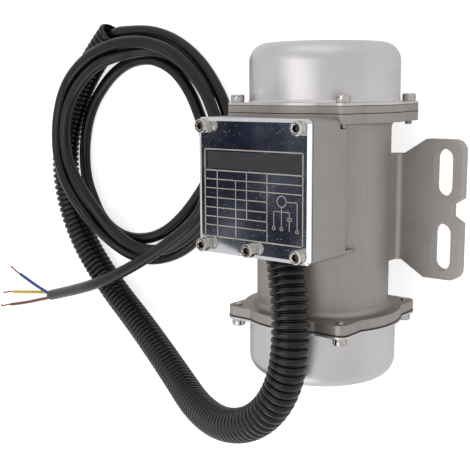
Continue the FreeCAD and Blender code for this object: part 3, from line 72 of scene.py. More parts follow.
class Tree:
    """Short way to write a node tree."""

    def __init__(self, tree):
        self.tree = tree
        tree.nodes.clear()

    def add(self, kind, **inputs):
        """New node with numbers set on its sockets."""
        node = self.tree.nodes.new(kind)
        for name, number in inputs.items():
            node.inputs[name.replace("_", " ")].default_value = number
        return node

    def join(self, source, target):
        self.tree.links.new(source, target)
        return target

    def surface(self, shader, kind="ShaderNodeOutputMaterial"):
        """Make a shader the tree's result."""
        self.join(shader.outputs[0], self.add(kind).inputs["Surface"])

    def math(self, operation, first, second):
        node = self.add("ShaderNodeMath")
        node.operation = operation
        for socket, source in zip(node.inputs, (first, second)):
            if isinstance(source, (int, float)):
                socket.default_value = source
            else:
                self.join(source, socket)
        return node.outputs[0]

    def blend(self, first, first_share, second, second_share):
        """Sum of two textures, each with its share."""
        return self.math("ADD", self.math("MULTIPLY", first, first_share),
                         self.math("MULTIPLY", second, second_share))

    def mix(self, share, first, second):
        """Second shader by its share over the first."""
        node = self.add("ShaderNodeMixShader")
        self.join(share, node.inputs[0])
        self.join(first.outputs[0], node.inputs[1])
        self.join(second.outputs[0], node.inputs[2])
        return node

    def seen_rays(self):
        """1 for rays from the camera, also through glass."""
        rays = self.add("ShaderNodeLightPath").outputs
        return self.math("MAXIMUM", rays["Is Camera Ray"], rays["Is Transmission Ray"])

    def mirrored_rays(self):
        """1 for rays that a shiny surface sends on."""
        return self.add("ShaderNodeLightPath").outputs["Is Glossy Ray"]

    def coordinates(self, stretch=(1, 1, 1)):
        """Place on the object, with the texture's scale along each axis."""
        place = self.add("ShaderNodeTexCoord").outputs["Object"]
        mapping = self.add("ShaderNodeMapping")
        mapping.inputs["Scale"].default_value = stretch
        self.join(place, mapping.inputs["Vector"])
        return mapping.outputs[0]

    def noise(self, scale, detail, stretch=(1, 1, 1), roughness=0.55):
        """Cloudy texture; scale counts its spots along one metre."""
        node = self.add("ShaderNodeTexNoise", Scale=scale, Detail=detail, Roughness=roughness)
        self.join(self.coordinates(stretch), node.inputs["Vector"])
        return node.outputs["Fac"]

    def spread(self, source, low, high, start=0.3, end=0.7):
        """Bring a texture between two values."""
        node = self.add("ShaderNodeMapRange")
        for name, number in (("From Min", start), ("From Max", end), ("To Min", low), ("To Max", high)):
            node.inputs[name].default_value = number
        self.join(source, node.inputs["Value"])
        return node.outputs[0]

    def ramp(self, source, stops):
        """Colours along a texture: (position, (r, g, b)) pairs."""
        node = self.add("ShaderNodeValToRGB")
        ramp = node.color_ramp
        while len(ramp.elements) < len(stops):
            ramp.elements.new(0.5)
        for element, (place, colour) in zip(ramp.elements, stops):
            element.position = place
            element.color = (*colour, 1)
        self.join(source, node.inputs[0])
        return node.outputs[0]

    def bump(self, height, strength, distance, normal=None):
        """Normal of a surface raised by a texture, by at most the distance in metres."""
        node = self.add("ShaderNodeBump", Strength=strength, Distance=distance)
        self.join(height, node.inputs["Height"])
        if normal is not None:
            self.join(normal, node.inputs["Normal"])
        return node.outputs[0]


# --- Camera, stage and light ---------------------------------------------------------------

CAMERA_PLACE = mm(64.3, -261.8, 436.26)
CAMERA_TURN = (-9.626, 39.285, -90.438)     # degrees about X, Y and Z
CAMERA_LENS = 68.42
SENSOR = 36.0
NEAREST_SEEN = 0.01


def make_camera():
    data = bpy.data.cameras.new("camera")
    data.lens = CAMERA_LENS
    data.sensor_width = SENSOR
    data.clip_start = NEAREST_SEEN
    camera = collection_link(bpy.data.objects.new("camera", data))
    camera.location = CAMERA_PLACE
    camera.rotation_euler = [math.radians(angle) for angle in CAMERA_TURN]
    bpy.context.scene.camera = camera


SKY_LIGHT = 0.50                            # strength with which the world lights
SKY_MIRRORED = (0.82, 0.82, 0.83, 1)        # colour and strength that shiny surfaces show
SKY_MIRRORED_STRENGTH = 0.92


def make_world():
    """White where it is seen, paler grey where it is mirrored, soft grey where it lights."""
    world = bpy.data.worlds.new("studio")
    bpy.context.scene.world = world
    world.use_nodes = True
    tree = Tree(world.node_tree)
    lighting = tree.add("ShaderNodeBackground", Color=WHITE, Strength=SKY_LIGHT)
    mirrored = tree.add("ShaderNodeBackground", Color=SKY_MIRRORED, Strength=SKY_MIRRORED_STRENGTH)
    seen = tree.add("ShaderNodeBackground", Color=WHITE, Strength=1.0)
    unseen = tree.mix(tree.mirrored_rays(), lighting, mirrored)
    tree.surface(tree.mix(tree.seen_rays(), unseen, seen), "ShaderNodeOutputWorld")


FLOOR_SIZE = 6.0
FLOOR_DROP = 0.2                            # millimetres below the feet
FLOOR_COLOUR = (0.84, 0.84, 0.85, 1)
FLOOR_GLOW = 0.74                           # lifts the floor to white where it is seen
FLOOR_MIRRORED_SHARE = 0.35                 # how much of that glow shiny surfaces show


def make_floor():
    """Pale floor that looks white, keeps the object's shadow and lights the object only by its diffuse colour
    and the share of its glow that shiny surfaces show.
    """
    half = FLOOR_SIZE / 2
    corners = ((-half, -half, 0), (half, -half, 0), (half, half, 0), (-half, half, 0))
    mesh = bpy.data.meshes.new("floor")
    mesh.from_pydata(corners, [], [range(len(corners))])
    floor = collection_link(bpy.data.objects.new("floor", mesh))
    floor.location = mm(0, 0, -FLOOR_DROP)
    material = bpy.data.materials.new("floor_white")
    material.use_nodes = True
    tree = Tree(material.node_tree)
    diffuse = tree.add("ShaderNodeBsdfDiffuse", Color=FLOOR_COLOUR)
    glow = tree.add("ShaderNodeEmission", Color=WHITE, Strength=FLOOR_GLOW)
    both = tree.add("ShaderNodeAddShader")
    tree.join(diffuse.outputs[0], both.inputs[0])
    tree.join(glow.outputs[0], both.inputs[1])
    mirrored = tree.math("MULTIPLY", tree.mirrored_rays(), FLOOR_MIRRORED_SHARE)
    tree.surface(tree.mix(tree.math("MAXIMUM", tree.seen_rays(), mirrored), diffuse, both))
    mesh.materials.append(material)


FLAG_DISTANCE = 0.1
FLAG_OUTLINE = (                # along X and across, from the flag's middle; one corner is cut away
    mm(-47, -40), mm(48.5, -40), mm(48.5, 34), mm(-24, 34), mm(-36, 8), mm(-47, 4),
)
FLAG_CLOUDS = (
    (0.36, (0.010, 0.012, 0.024)),
    (0.52, (0.028, 0.031, 0.050)),
    (0.62, (0.070, 0.075, 0.098)),
    (0.76, (0.200, 0.210, 0.240)),
)


def make_cover_flag():
    """Clouded dark card above the box that only mirrors see: the polished cover looks dark."""
    low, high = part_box("box_cover")
    middle = (Vector(low) + Vector(high)) / 2
    sight = (middle - CAMERA_PLACE).normalized()
    bounce = Vector((sight.x, sight.y, -sight.z))
    along = (Vector((1, 0, 0)) - bounce * bounce.x).normalized()
    across = bounce.cross(along)
    mesh = bpy.data.meshes.new("dark_flag")
    mesh.from_pydata([along * spot.x + across * spot.y for spot in FLAG_OUTLINE], [],
                     [range(len(FLAG_OUTLINE))])
    flag = collection_link(bpy.data.objects.new("dark_flag", mesh))
    flag.location = middle + bounce * FLAG_DISTANCE
    flag.visible_camera = False
    flag.visible_diffuse = False
    flag.visible_shadow = False
    flag.visible_transmission = False
    material = bpy.data.materials.new("flag_dark")
    material.use_nodes = True
    tree = Tree(material.node_tree)
    glow = tree.add("ShaderNodeEmission", Strength=1.0)
    tree.join(tree.ramp(tree.noise(scale=24, detail=5), FLAG_CLOUDS), glow.inputs["Color"])
    tree.surface(glow)
    mesh.materials.append(material)


LIT_MIDDLE = mm(10, 40, 40)
SOFT_BOXES = (
    # name, place and size in metres, power in watts
    ("overhead", (-0.15, 0.10, 1.15), (1.0, 0.7), 2.3),
    ("left", (-1.1, 0.3, 0.6), (0.8, 0.8), 2.2),
    ("front", (1.15, -0.1, 0.5), (1.2, 0.9), 1.2),
)


def make_lights():
    """Soft boxes turned towards the middle of the object."""
    for name, place, size, power in SOFT_BOXES:
        data = bpy.data.lights.new(name, "AREA")
        data.shape = "RECTANGLE"
        data.size, data.size_y = size
        data.energy = power
        light = collection_link(bpy.data.objects.new(name, data))
        light.location = place
        light.rotation_euler = (LIT_MIDDLE - Vector(place)).to_track_quat("-Z", "Y").to_euler()


# --- Materials -----------------------------------------------------------------------------


def tint(colour, factor):
    return tuple(min(1.0, channel * factor) for channel in colour)


def new_material(name, **inputs):
    """Material with one principled shader, its node tree and that shader's sockets."""
    material = bpy.data.materials.new(name)
    material.use_nodes = True
    tree = Tree(material.node_tree)
    shader = tree.add("ShaderNodeBsdfPrincipled", **inputs)
    tree.surface(shader)
    return material, tree, shader.inputs


def blasted_steel(name, colour, roughness, streak=(1, 1, 1), blotch=0.06, edge=0.35):
    """Satin stainless: faint clouds, a fine blasted grain, streaks and softened edges."""
    material, tree, sockets = new_material(name, Metallic=1.0)
    clouds = tree.noise(scale=38, detail=6)
    stains = tree.noise(scale=11, detail=3)
    streaks = tree.noise(scale=260, detail=5, stretch=streak)
    mixed = tree.blend(clouds, 0.5, stains, 0.5)
    tree.join(tree.ramp(tree.blend(mixed, 0.7, streaks, 0.3), (
        (0.36, tint(colour, 1 - 1.6 * blotch)),
        (0.50, colour),
        (0.64, tint(colour, 1 + blotch)),
    )), sockets["Base Color"])
    tree.join(tree.spread(mixed, roughness - 0.05, roughness + 0.07), sockets["Roughness"])
    grain = tree.noise(scale=2600, detail=3)
    rounded = tree.add("ShaderNodeBevel", Radius=edge * MM)
    rounded.samples = 4
    fine = tree.bump(grain, strength=0.22, distance=0.00004, normal=rounded.outputs[0])
    tree.join(tree.bump(streaks, strength=0.12, distance=0.00006, normal=fine), sockets["Normal"])
    return material


def mirror_steel(name):
    """Polished sheet with specks of dust, faint smears and hairline scratches."""
    material, tree, sockets = new_material(name, Metallic=1.0)
    smears = tree.noise(scale=55, detail=6)
    specks = tree.noise(scale=1300, detail=2)
    hairs = tree.noise(scale=500, detail=4, stretch=(0.08, 1.6, 1))
    dust = tree.spread(specks, 0.0, 1.0, start=0.68, end=0.76)
    tree.join(tree.ramp(tree.math("ADD", smears, tree.math("MULTIPLY", dust, 0.4)), (
        (0.35, (0.70, 0.71, 0.74)),
        (0.60, (0.78, 0.79, 0.81)),
        (0.90, (0.88, 0.88, 0.88)),
    )), sockets["Base Color"])
    clean = tree.spread(smears, 0.035, 0.15)
    tree.join(tree.math("ADD", clean, tree.math("MULTIPLY", dust, 0.45)), sockets["Roughness"])
    waves = tree.bump(tree.noise(scale=26, detail=3), strength=0.35, distance=0.00045)
    tree.join(tree.bump(hairs, strength=0.05, distance=0.00002, normal=waves), sockets["Normal"])
    return material


def bright_steel(name, colour, roughness):
    """Turned or ground metal with fine marks."""
    material, tree, sockets = new_material(name, Metallic=1.0)
    marks = tree.noise(scale=900, detail=4)
    tree.join(tree.ramp(marks, ((0.3, tint(colour, 0.78)), (0.6, colour))), sockets["Base Color"])
    tree.join(tree.spread(marks, roughness - 0.04, roughness + 0.10), sockets["Roughness"])
    tree.join(tree.bump(marks, strength=0.15, distance=0.00003), sockets["Normal"])
    return material


def drawn_steel(name, colour):
    """Deep-drawn cap: smoother than the body, with pale scuffs from the die."""
    material, tree, sockets = new_material(name, Metallic=1.0)
    clouds = tree.noise(scale=30, detail=6)
    scratches = tree.noise(scale=70, detail=8, stretch=(2.2, 0.8, 0.8), roughness=0.65)
    lines = tree.noise(scale=420, detail=5, stretch=(6, 0.25, 0.25))
    scuffs = tree.spread(scratches, 0.0, 1.0, start=0.58, end=0.70)
    tree.join(tree.ramp(tree.blend(clouds, 0.75, scuffs, 0.25), (
        (0.30, tint(colour, 0.92)),
        (0.50, colour),
        (0.75, tint(colour, 1.22)),
    )), sockets["Base Color"])
    worn = tree.math("ADD", tree.spread(clouds, 0.34, 0.40), tree.math("MULTIPLY", scuffs, 0.12))
    tree.join(worn, sockets["Roughness"])
    grain = tree.bump(tree.noise(scale=1900, detail=3), strength=0.12, distance=0.00004)
    tree.join(tree.bump(lines, strength=0.05, distance=0.00005, normal=grain), sockets["Normal"])
    return material


def plastic(name, colour, roughness, grain=0.1, shine=0.5, pores=1200):
    """Moulded or extruded plastic and rubber; grain is how deep its pores look."""
    material, tree, sockets = new_material(name, Specular_IOR_Level=shine)
    marks = tree.noise(scale=90, detail=5)
    tree.join(tree.ramp(marks, ((0.3, tint(colour, 0.8)), (0.7, tint(colour, 1.25)))), sockets["Base Color"])
    tree.join(tree.spread(marks, roughness - 0.05, roughness + 0.07), sockets["Roughness"])
    pitted = tree.bump(tree.noise(scale=pores, detail=3), strength=grain, distance=0.00005)
    tree.join(pitted, sockets["Normal"])
    return material


def laminated(name, colour):
    """Stack of thin sheets across the shaft."""
    material, tree, sockets = new_material(name, Metallic=0.9)
    sheets = tree.noise(scale=900, detail=1, stretch=(1.6, 0.02, 0.02))
    tones = tree.ramp(sheets, ((0.35, tint(colour, 0.6)), (0.65, tint(colour, 1.2))))
    tree.join(tones, sockets["Base Color"])
    tree.join(tree.spread(sheets, 0.35, 0.55), sockets["Roughness"])
    tree.join(tree.bump(sheets, strength=0.6, distance=0.0001), sockets["Normal"])
    return material


def wound(name, colour):
    """Turns of enamelled wire."""
    material, tree, sockets = new_material(name, Metallic=0.8, Coat_Weight=0.6)
    waves = tree.add("ShaderNodeTexWave", Scale=420, Distortion=3.0, Detail=2.0)
    waves.wave_type = "RINGS"
    waves.rings_direction = "X"
    tree.join(tree.coordinates(), waves.inputs["Vector"])
    turns = waves.outputs["Fac"]
    tree.join(tree.ramp(turns, ((0.1, tint(colour, 0.35)), (0.7, colour))), sockets["Base Color"])
    tree.join(tree.spread(turns, 0.45, 0.25), sockets["Roughness"])
    tree.join(tree.bump(turns, strength=0.8, distance=0.0002), sockets["Normal"])
    return material


MATERIALS = {
    "body_steel": blasted_steel("body_steel_satin", (0.405, 0.376, 0.355), 0.50, streak=(0.25, 2.5, 2.5)),
    "box_steel": blasted_steel("box_steel_satin", (0.405, 0.380, 0.360), 0.48, streak=(0.4, 2.0, 0.4),
                               edge=0.2),
    # the feet are the body's steel given a lighter colour: painted light, making up for the light the feet
    # lack
    "foot_steel": blasted_steel("foot_satin_painted_lighter", (0.52, 0.485, 0.46), 0.54, streak=(2.0, 0.4, 0.4),
                                edge=0.5),
    "cap_steel": drawn_steel("cap_steel_drawn", (0.69, 0.672, 0.66)),
    "cover_steel": mirror_steel("cover_steel_mirror"),
    "screw_steel": bright_steel("screw_steel_bright", (0.60, 0.565, 0.53), 0.17),
    # near-black colour for the faces inside the hex sockets: painted shade in the recess
    "socket_shade": bright_steel("socket_painted_shade_steel", (0.09, 0.078, 0.068), 0.42),
    "gasket_rubber": plastic("gasket_rubber_black", (0.022, 0.022, 0.022), 0.62, grain=0.5),
    "bearing_steel": bright_steel("bearing_steel_ground", (0.70, 0.71, 0.73), 0.14),
    "electrical_steel": laminated("core_laminated", (0.30, 0.30, 0.33)),
    "winding_copper": wound("winding_enamelled", (0.62, 0.24, 0.10)),
    "cage_aluminium": blasted_steel("cage_cast_aluminium", (0.72, 0.72, 0.73), 0.45),
    "shaft_steel": bright_steel("shaft_steel_ground", (0.58, 0.58, 0.60), 0.24),
    "weight_steel": blasted_steel("weight_steel_oiled", (0.28, 0.275, 0.27), 0.40, streak=(3, 1, 1),
                                  blotch=0.12),
    "terminal_plastic": plastic("terminal_plastic_pale", (0.72, 0.69, 0.58), 0.38),
    "capacitor_plastic": plastic("capacitor_case_black", (0.03, 0.03, 0.034), 0.35),
    "terminal_brass": bright_steel("terminal_brass_plated", (0.70, 0.52, 0.24), 0.25),
    "conduit_plastic": plastic("conduit_black_gloss", (0.004, 0.004, 0.005), 0.18, grain=0.04, shine=0.42),
    "sheath_black": plastic("sheath_black_satin", (0.007, 0.007, 0.0085), 0.25, grain=0.06, shine=0.36,
                            pores=2200),
    "core_blue": plastic("core_blue_gloss", (0.012, 0.055, 0.34), 0.30),
    "core_yellow": plastic("core_yellow_gloss", (0.82, 0.56, 0.05), 0.30),
    "core_brown": plastic("core_brown_gloss", (0.20, 0.055, 0.030), 0.30),
    "lead_white": plastic("lead_white_gloss", (0.78, 0.77, 0.72), 0.32),
    "bare_copper": bright_steel("strand_copper_bright", (0.50, 0.21, 0.15), 0.32),
    "etched": plastic("plate_lines_etched", (0.56, 0.51, 0.44), 0.5, grain=0.3),
    "blank_panel": plastic("plate_blank_panel", (0.030, 0.031, 0.035), 0.55, grain=0.2),
}
# the feet take the lighter copy of the steel, painted light
NODE_FINISHES = {"terminal_box": "box_steel", "right_foot": "foot_steel", "left_foot": "foot_steel"}


def dress_cad():
    """Every CAD node gets the finish of its slot, or its own where one is given."""
    slots = {row["node"]: row["material_slot"] for row in frame["record"]["subparts"]}
    for name, obj in NODES.items():
        obj.data.materials.clear()
        obj.data.materials.append(MATERIALS[NODE_FINISHES.get(name, slots[name])])


# --- Meshes --------------------------------------------------------------------------------


def join_rows(mesh, rows):
    """Faces between rows of points, each row closed on itself."""
    width = len(rows[0])
    for row, following in zip(rows, rows[1:]):
        for n in range(width):
            after = (n + 1) % width
            mesh.faces.new((row[n], row[after], following[after], following[n]))


def ring_mesh(rings, segments):
    """Closed mesh through rings of points; each ring is a function from angle to a point."""
    mesh = bmesh.new()
    rows = []
    for ring in rings:
        rows.append([mesh.verts.new(ring(2 * math.pi * n / segments)) for n in range(segments)])
    join_rows(mesh, rows)
    mesh.faces.new(list(reversed(rows[0])))
    mesh.faces.new(rows[-1])
    return mesh


def finish_mesh(name, mesh, material, smooth=True):
    """Turn a bmesh into an object with one material."""
    bmesh.ops.recalc_face_normals(mesh, faces=mesh.faces)
    data = bpy.data.meshes.new(name)
    mesh.to_mesh(data)
    mesh.free()
    for polygon in data.polygons:
        polygon.use_smooth = smooth
    data.materials.append(MATERIALS[material])
    return collection_link(bpy.data.objects.new(name, data))


# --- Leads ---------------------------------------------------------------------------------

CONDUIT_ROUTE = (
    (-16.75, -7.5, 88), (-34, -13.4, 92), (-54, -17.3, 95.5), (-76, -15, 96), (-95, -4.5, 94.5),
    (-110, 15, 89), (-120, 44, 77), (-123, 78, 58), (-117, 108, 41), (-107, 137, 28), (-94, 169, 16),
    (-72, 206, 9.5), (-41, 234, 9.5), (-6, 248, 9.5), (30, 247, 9.5), (62, 232, 9.5), (86, 211.5, 9.5),
    (101.6, 194, 9.5),
)
CABLE_START = ((-6, -7.5, 88), (-16, -7.5, 88))     # inside the box, up to the conduit's end
CABLE_TURNS = (
    # out of the mouth and round the right side
    (101.9, 175.8, 8.5), (101.6, 163.6, 7), (98.9, 151.5, 5), (93.7, 138.7, 4), (86.3, 126.7, 4),
    (77.3, 116.5, 4), (66.5, 107.9, 4), (56.7, 101.7, 4), (47, 97.5, 4), (35.6, 95.6, 4),
    (22.9, 95.7, 4), (9.9, 98.3, 4), (-3.4, 103.5, 4), (-15.8, 110.5, 4), (-28.8, 120.4, 4),
    (-39.6, 132.3, 4),
    # along the bottom and over the conduit
    (-47.9, 148.3, 4), (-52.7, 167.7, 4), (-51.4, 184.7, 5), (-45.8, 195.3, 8.5), (-38.4, 201.6, 14),
    (-30.2, 206.8, 19.5), (-21.4, 212, 24), (-11.8, 220.1, 25.5), (-1.6, 228.7, 25.5), (9.7, 234, 25.5),
    (21.1, 237.3, 25), (34, 237.8, 24.5), (45.5, 236, 24.5), (58.3, 231.5, 24.5), (69.4, 224.4, 24.5),
    (79.2, 212.7, 25), (87.1, 198.3, 25), (92.2, 182.7, 24.5), (94.4, 167.9, 22), (93.9, 154.7, 19.5),
    (90.4, 141.2, 17), (84.4, 130.5, 14), (74.5, 118.9, 12.5), (63.1, 109.5, 12),
    # second turn, right side
    (49.6, 102.8, 12), (37.2, 97.1, 12), (24.7, 94.8, 12), (11.9, 96.6, 12), (-1.2, 100.9, 12),
    (-13.4, 107.9, 12), (-25.6, 118.5, 12), (-35.7, 132.2, 12), (-42.6, 148.1, 12), (-44.6, 165.4, 12),
    (-41.6, 180.3, 12.5), (-35.6, 190.9, 14), (-27.6, 199, 17), (-17.6, 205.2, 21), (-7.6, 212.1, 23.5),
    (1.7, 219.6, 24), (11.7, 226.4, 24), (22.8, 229.7, 24), (34.2, 230.2, 24), (46.3, 228, 24),
    (57.6, 222.2, 24), (67.9, 212.7, 24), (76.3, 201.5, 24), (82.5, 189.1, 23.5), (86, 177.9, 19.5),
    (88.7, 168.6, 13.5), (89.1, 157.7, 9), (86.4, 145.9, 6), (80.1, 135.3, 4), (71.4, 124.5, 4),
    (61.5, 116, 4), (50, 109.7, 4),
    # inner turn
    (37.9, 105.2, 4.5), (25.2, 104.4, 5), (13.5, 108, 6.5), (2.1, 114.1, 8), (-10.5, 124.4, 8.5),
    (-21.6, 136, 8.5), (-30.4, 148.8, 8), (-36.5, 164.3, 6), (-39.3, 180.8, 4.5), (-38.1, 194.5, 5),
    (-33.3, 207.5, 4.5), (-25, 218.4, 4), (-14.3, 224.7, 4), (-2.8, 230.5, 4), (9.7, 232.7, 4),
    (23.7, 232.3, 4), (38.9, 229.1, 4), (52.9, 222.2, 4), (63.7, 212.9, 4), (73, 202.3, 4),
    (80, 189.9, 4), (83.6, 176.2, 4), (83.8, 162.2, 4), (79, 147.8, 4), (71.1, 136.9, 4), (60.4, 128, 4),
    (49.2, 121.7, 4.5),
    # tail
    (37.8, 114.3, 7), (25.5, 107.6, 12.5), (13.3, 102.4, 17.5), (2.2, 100.6, 20.5), (-8.1, 103.3, 21.5),
    (-17.3, 109, 22.5), (-25.5, 118.7, 23.5), (-35.4, 133.2, 24.5), (-45.6, 149.6, 26),
    (-55.3, 166.7, 27.5), (-63.5, 184.4, 28), (-71, 203, 26.5), (-80.9, 234, 18), (-91.5, 271.3, 8.5),
)
CABLE_ROUTE = CABLE_START + CONDUIT_ROUTE[1:] + CABLE_TURNS
WIRES = {
    "blue": ((-90.4, 269, 11), (-87.5, 284, 9.5), (-84.4, 298, 7.5), (-81.2, 313, 5)),
    "yellow": ((-89.6, 270, 8), (-92.5, 292, 6), (-95.5, 310, 4), (-97.7, 326, 3)),
    "brown": ((-92.6, 269, 8.4), (-98.5, 290, 6), (-104.5, 311, 4), (-108.8, 330, 3)),
}
COPPER = {                      # bare end of each core
    "blue": ((-81.2, 313, 5), (-80, 319, 4.4), (-77, 324.5, 4), (-77, 327.5, 3.4)),
    "yellow": ((-97.7, 326, 3), (-98.2, 333, 2.5), (-100.5, 337.5, 2.6), (-99.9, 340.6, 2.2)),
    "brown": ((-108.8, 330, 3), (-109.9, 337, 2.5), (-112.3, 341, 2.6), (-111.5, 344.5, 2.2)),
}
CONDUIT_DIAMETER = 19.0 * MM
CABLE_DIAMETER = 7.8 * MM
WIRE_DIAMETER = 2.4 * MM
STRAND_DIAMETER = 0.46 * MM
CORD_ROUNDNESS = 6              # bevel steps of a cord's section
STRAND_ROUNDNESS = 3
CORD_STEPS = 12                 # between two points of a cord's spline
CONDUIT_STEPS = 24
COPPER_STEPS = 16


def round_curve(name, diameter, roundness, material):
    """Empty curve with a round section."""
    data = bpy.data.curves.new(name, "CURVE")
    data.dimensions = "3D"
    data.bevel_depth = diameter / 2
    data.bevel_resolution = roundness
    data.use_fill_caps = True
    data.materials.append(MATERIALS[material])
    return data


def add_spline(data, places):
    """Smooth open spline through a curve's data, led by places in metres."""
    spline = data.splines.new("NURBS")
    spline.points.add(len(places) - 1)
    for point, place in zip(spline.points, places):
        point.co = (*place, 1)
    spline.order_u = 3
    spline.use_endpoint_u = True


def cord_curve(name, points, diameter, material, steps=CORD_STEPS):
    """Smooth NURBS cord of round section."""
    data = round_curve(name, diameter, CORD_ROUNDNESS, material)
    data.resolution_u = steps
    add_spline(data, [mm(*point) for point in points])
    return collection_link(bpy.data.objects.new(name, data))


def centreline(curve):
    """Points along a cord's own spline."""
    bare = curve.copy()
    bare.data = curve.data.copy()
    bare.data.bevel_depth = 0
    collection_link(bare)
    bpy.context.view_layer.update()
    mesh = bpy.data.meshes.new_from_object(bare.evaluated_get(bpy.context.evaluated_depsgraph_get()))
    points = [vertex.co.copy() for vertex in mesh.vertices]
    bpy.data.objects.remove(bare)
    bpy.data.meshes.remove(mesh)
    return points


def guide_line(points, diameter, material, steps):
    """Points along a cord that is only laid to be followed."""
    guide = cord_curve("guide", points, diameter, material, steps)
    followed = centreline(guide)
    bpy.data.objects.remove(guide)
    return followed


def path_length(points):
    return sum((b - a).length for a, b in zip(points, points[1:]))


class Track:
    """Places and upright frames along a line of points, by distance."""

    def __init__(self, points):
        self.points = points
        self.marks = [0.0]
        for before, after in zip(points, points[1:]):
            self.marks.append(self.marks[-1] + (after - before).length)
        self.length = self.marks[-1]
        self.frames = self._carry_frames()
        self.at = 0

    def _carry_frames(self):
        """Side vector at each point, carried along without twist."""
        ahead = [(b - a).normalized() for a, b in zip(self.points, self.points[1:])]
        ahead.append(ahead[-1])
        side = ahead[0].cross(Vector((0, 0, 1))).normalized()
        sides = []
        for direction in ahead:
            side = (side - direction * side.dot(direction)).normalized()
            sides.append(side)
        return list(zip(ahead, sides))

    def frame(self, distance):
        """Place, direction, side and upward vectors at a distance; distances only grow."""
        while self.at < len(self.marks) - 2 and self.marks[self.at + 1] < distance:
            self.at += 1
        n = self.at
        span = self.marks[n + 1] - self.marks[n]
        share = (distance - self.marks[n]) / span
        place = self.points[n].lerp(self.points[n + 1], share)
        ahead = self.frames[n][0].lerp(self.frames[n + 1][0], share).normalized()
        side = self.frames[n][1].lerp(self.frames[n + 1][1], share)
        side = (side - ahead * side.dot(ahead)).normalized()
        return place, ahead, side, ahead.cross(side)


RIB_PITCH = 4.0 * MM
RIB_DEPTH = 1.6 * MM
RIB_PROFILE = (                 # share of the pitch, share of the depth below the crest
    (0.00, 1.0), (0.07, 1.0), (0.12, 0.80), (0.18, 0.45), (0.26, 0.18), (0.36, 0.05), (0.48, 0.0),
    (0.60, 0.0), (0.72, 0.05), (0.82, 0.18), (0.90, 0.45), (0.95, 0.80),
)
CONDUIT_WALL = 0.65 * MM
CONDUIT_SEGMENTS = 48


def make_conduit():
    """Corrugated conduit with an open bore."""
    points = guide_line(CONDUIT_ROUTE, CONDUIT_DIAMETER, "conduit_plastic", CONDUIT_STEPS)
    track = Track(points)
    count = round(track.length / RIB_PITCH)
    pitch = track.length / count
    stations = [((n + share) * pitch, depth) for n in range(count) for share, depth in RIB_PROFILE]
    stations.append((track.length, RIB_PROFILE[0][1]))
    mesh = bmesh.new()
    outer_rows, inner_rows = [], []
    for distance, depth in stations:
        place, _, side, up = track.frame(distance)
        reach = CONDUIT_DIAMETER / 2 - depth * RIB_DEPTH
        outer, inner = [], []
        for n in range(CONDUIT_SEGMENTS):
            angle = 2 * math.pi * n / CONDUIT_SEGMENTS
            outward = side * math.cos(angle) + up * math.sin(angle)
            outer.append(mesh.verts.new(place + outward * reach))
            inner.append(mesh.verts.new(place + outward * (reach - CONDUIT_WALL)))
        outer_rows.append(outer)
        inner_rows.append(inner)
    join_rows(mesh, outer_rows)
    join_rows(mesh, inner_rows)
    for end in (0, -1):
        join_rows(mesh, (outer_rows[end], inner_rows[end]))
    conduit = finish_mesh("ribbed_conduit", mesh, "conduit_plastic")
    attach(conduit, MOTOR)
    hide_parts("conduit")


def make_cable():
    """Cable from the box through the conduit, round the coil and out to its free end."""
    cable = cord_curve("black_cable", CABLE_ROUTE, CABLE_DIAMETER, "sheath_black")
    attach(cable, MOTOR)
    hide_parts("cable_lead", "cable_coil", "cable_tail")
    length = path_length(centreline(cable))


STRAND_COUNT = 7
STRAND_STEPS = 60
STRAND_SHORTEST = 0.93          # share of the bare end that the shortest strand reaches
STRAND_TWIST = 1.1 / MM         # angle along the bundle
FRAY_START = 0.85               # share of the bare end where the strands begin to part
FRAY_SPREAD = 0.5


def strand_bundle(colour):
    """Strands of bare copper, one in the middle and six twisted round it, frayed at the end."""
    track = Track(guide_line(COPPER[colour], STRAND_DIAMETER, "bare_copper", COPPER_STEPS))
    data = round_curve(f"{colour}_strands", STRAND_DIAMETER, STRAND_ROUNDNESS, "bare_copper")
    for strand in range(STRAND_COUNT):
        track.at = 0
        reach = 0.0 if strand == 0 else STRAND_DIAMETER
        ending = track.length * random.uniform(STRAND_SHORTEST, 1.0)
        places = []
        for step in range(STRAND_STEPS + 1):
            distance = ending * step / STRAND_STEPS
            place, _, side, up = track.frame(distance)
            angle = SIXTH_TURN * strand + distance * STRAND_TWIST
            parted = max(0.0, distance / track.length - FRAY_START) / (1 - FRAY_START)
            outward = side * math.cos(angle) + up * math.sin(angle)
            places.append(place + outward * reach * (1 + FRAY_SPREAD * parted))
        add_spline(data, places)
    return collection_link(bpy.data.objects.new(f"{colour}_strands", data))


def make_wires():
    """Three insulated cores with bare ends; the first bundle also stands for the CAD node."""
    for number, (colour, route) in enumerate(WIRES.items()):
        wire = cord_curve(f"{colour}_core", route, WIRE_DIAMETER, f"core_{colour}")
        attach(wire, MOTOR)
        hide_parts(f"wire_{colour}")
        strands = strand_bundle(colour)
        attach(strands, MOTOR)
        if number == 0:
            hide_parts("bare_wire_ends")
        length = path_length(centreline(wire))


# --- Fasteners -----------------------------------------------------------------------------

SCREW_SEGMENTS = 72
HEAD_RADIUS = 3.5
HEAD_HEIGHT = 4.0
COVER_SCREW_LENGTH = 8.0
THREADED_LENGTH = 3.4
THREAD_RADIUS = 1.98
THREAD_PITCH = 0.7
THREAD_DEPTH = 0.32
THREAD_RINGS = 6                # to one turn of the thread
THREAD_RUNOUT = 0.05
TIP_RINGS = ((0.0, 1.3), (0.02, 1.45))          # height above the tip, radius
TIP_LENGTH = 0.3
NECK_RINGS = ((-0.02, THREAD_RADIUS), (0.0, 2.2), (0.0, 3.2), (0.12, 3.38), (0.32, 3.45))
KNURL_RINGS = ((0.45, 3.49, 0.0), (0.6, HEAD_RADIUS, 0.16), (3.15, HEAD_RADIUS, 0.16))  # and depth
CROWN_RINGS = (
    (3.3, 3.46), (3.42, 3.44), (3.75, 3.30), (3.93, 3.08), (HEAD_HEIGHT, 2.85), (HEAD_HEIGHT, 2.1),
    (3.95, 1.98),
)
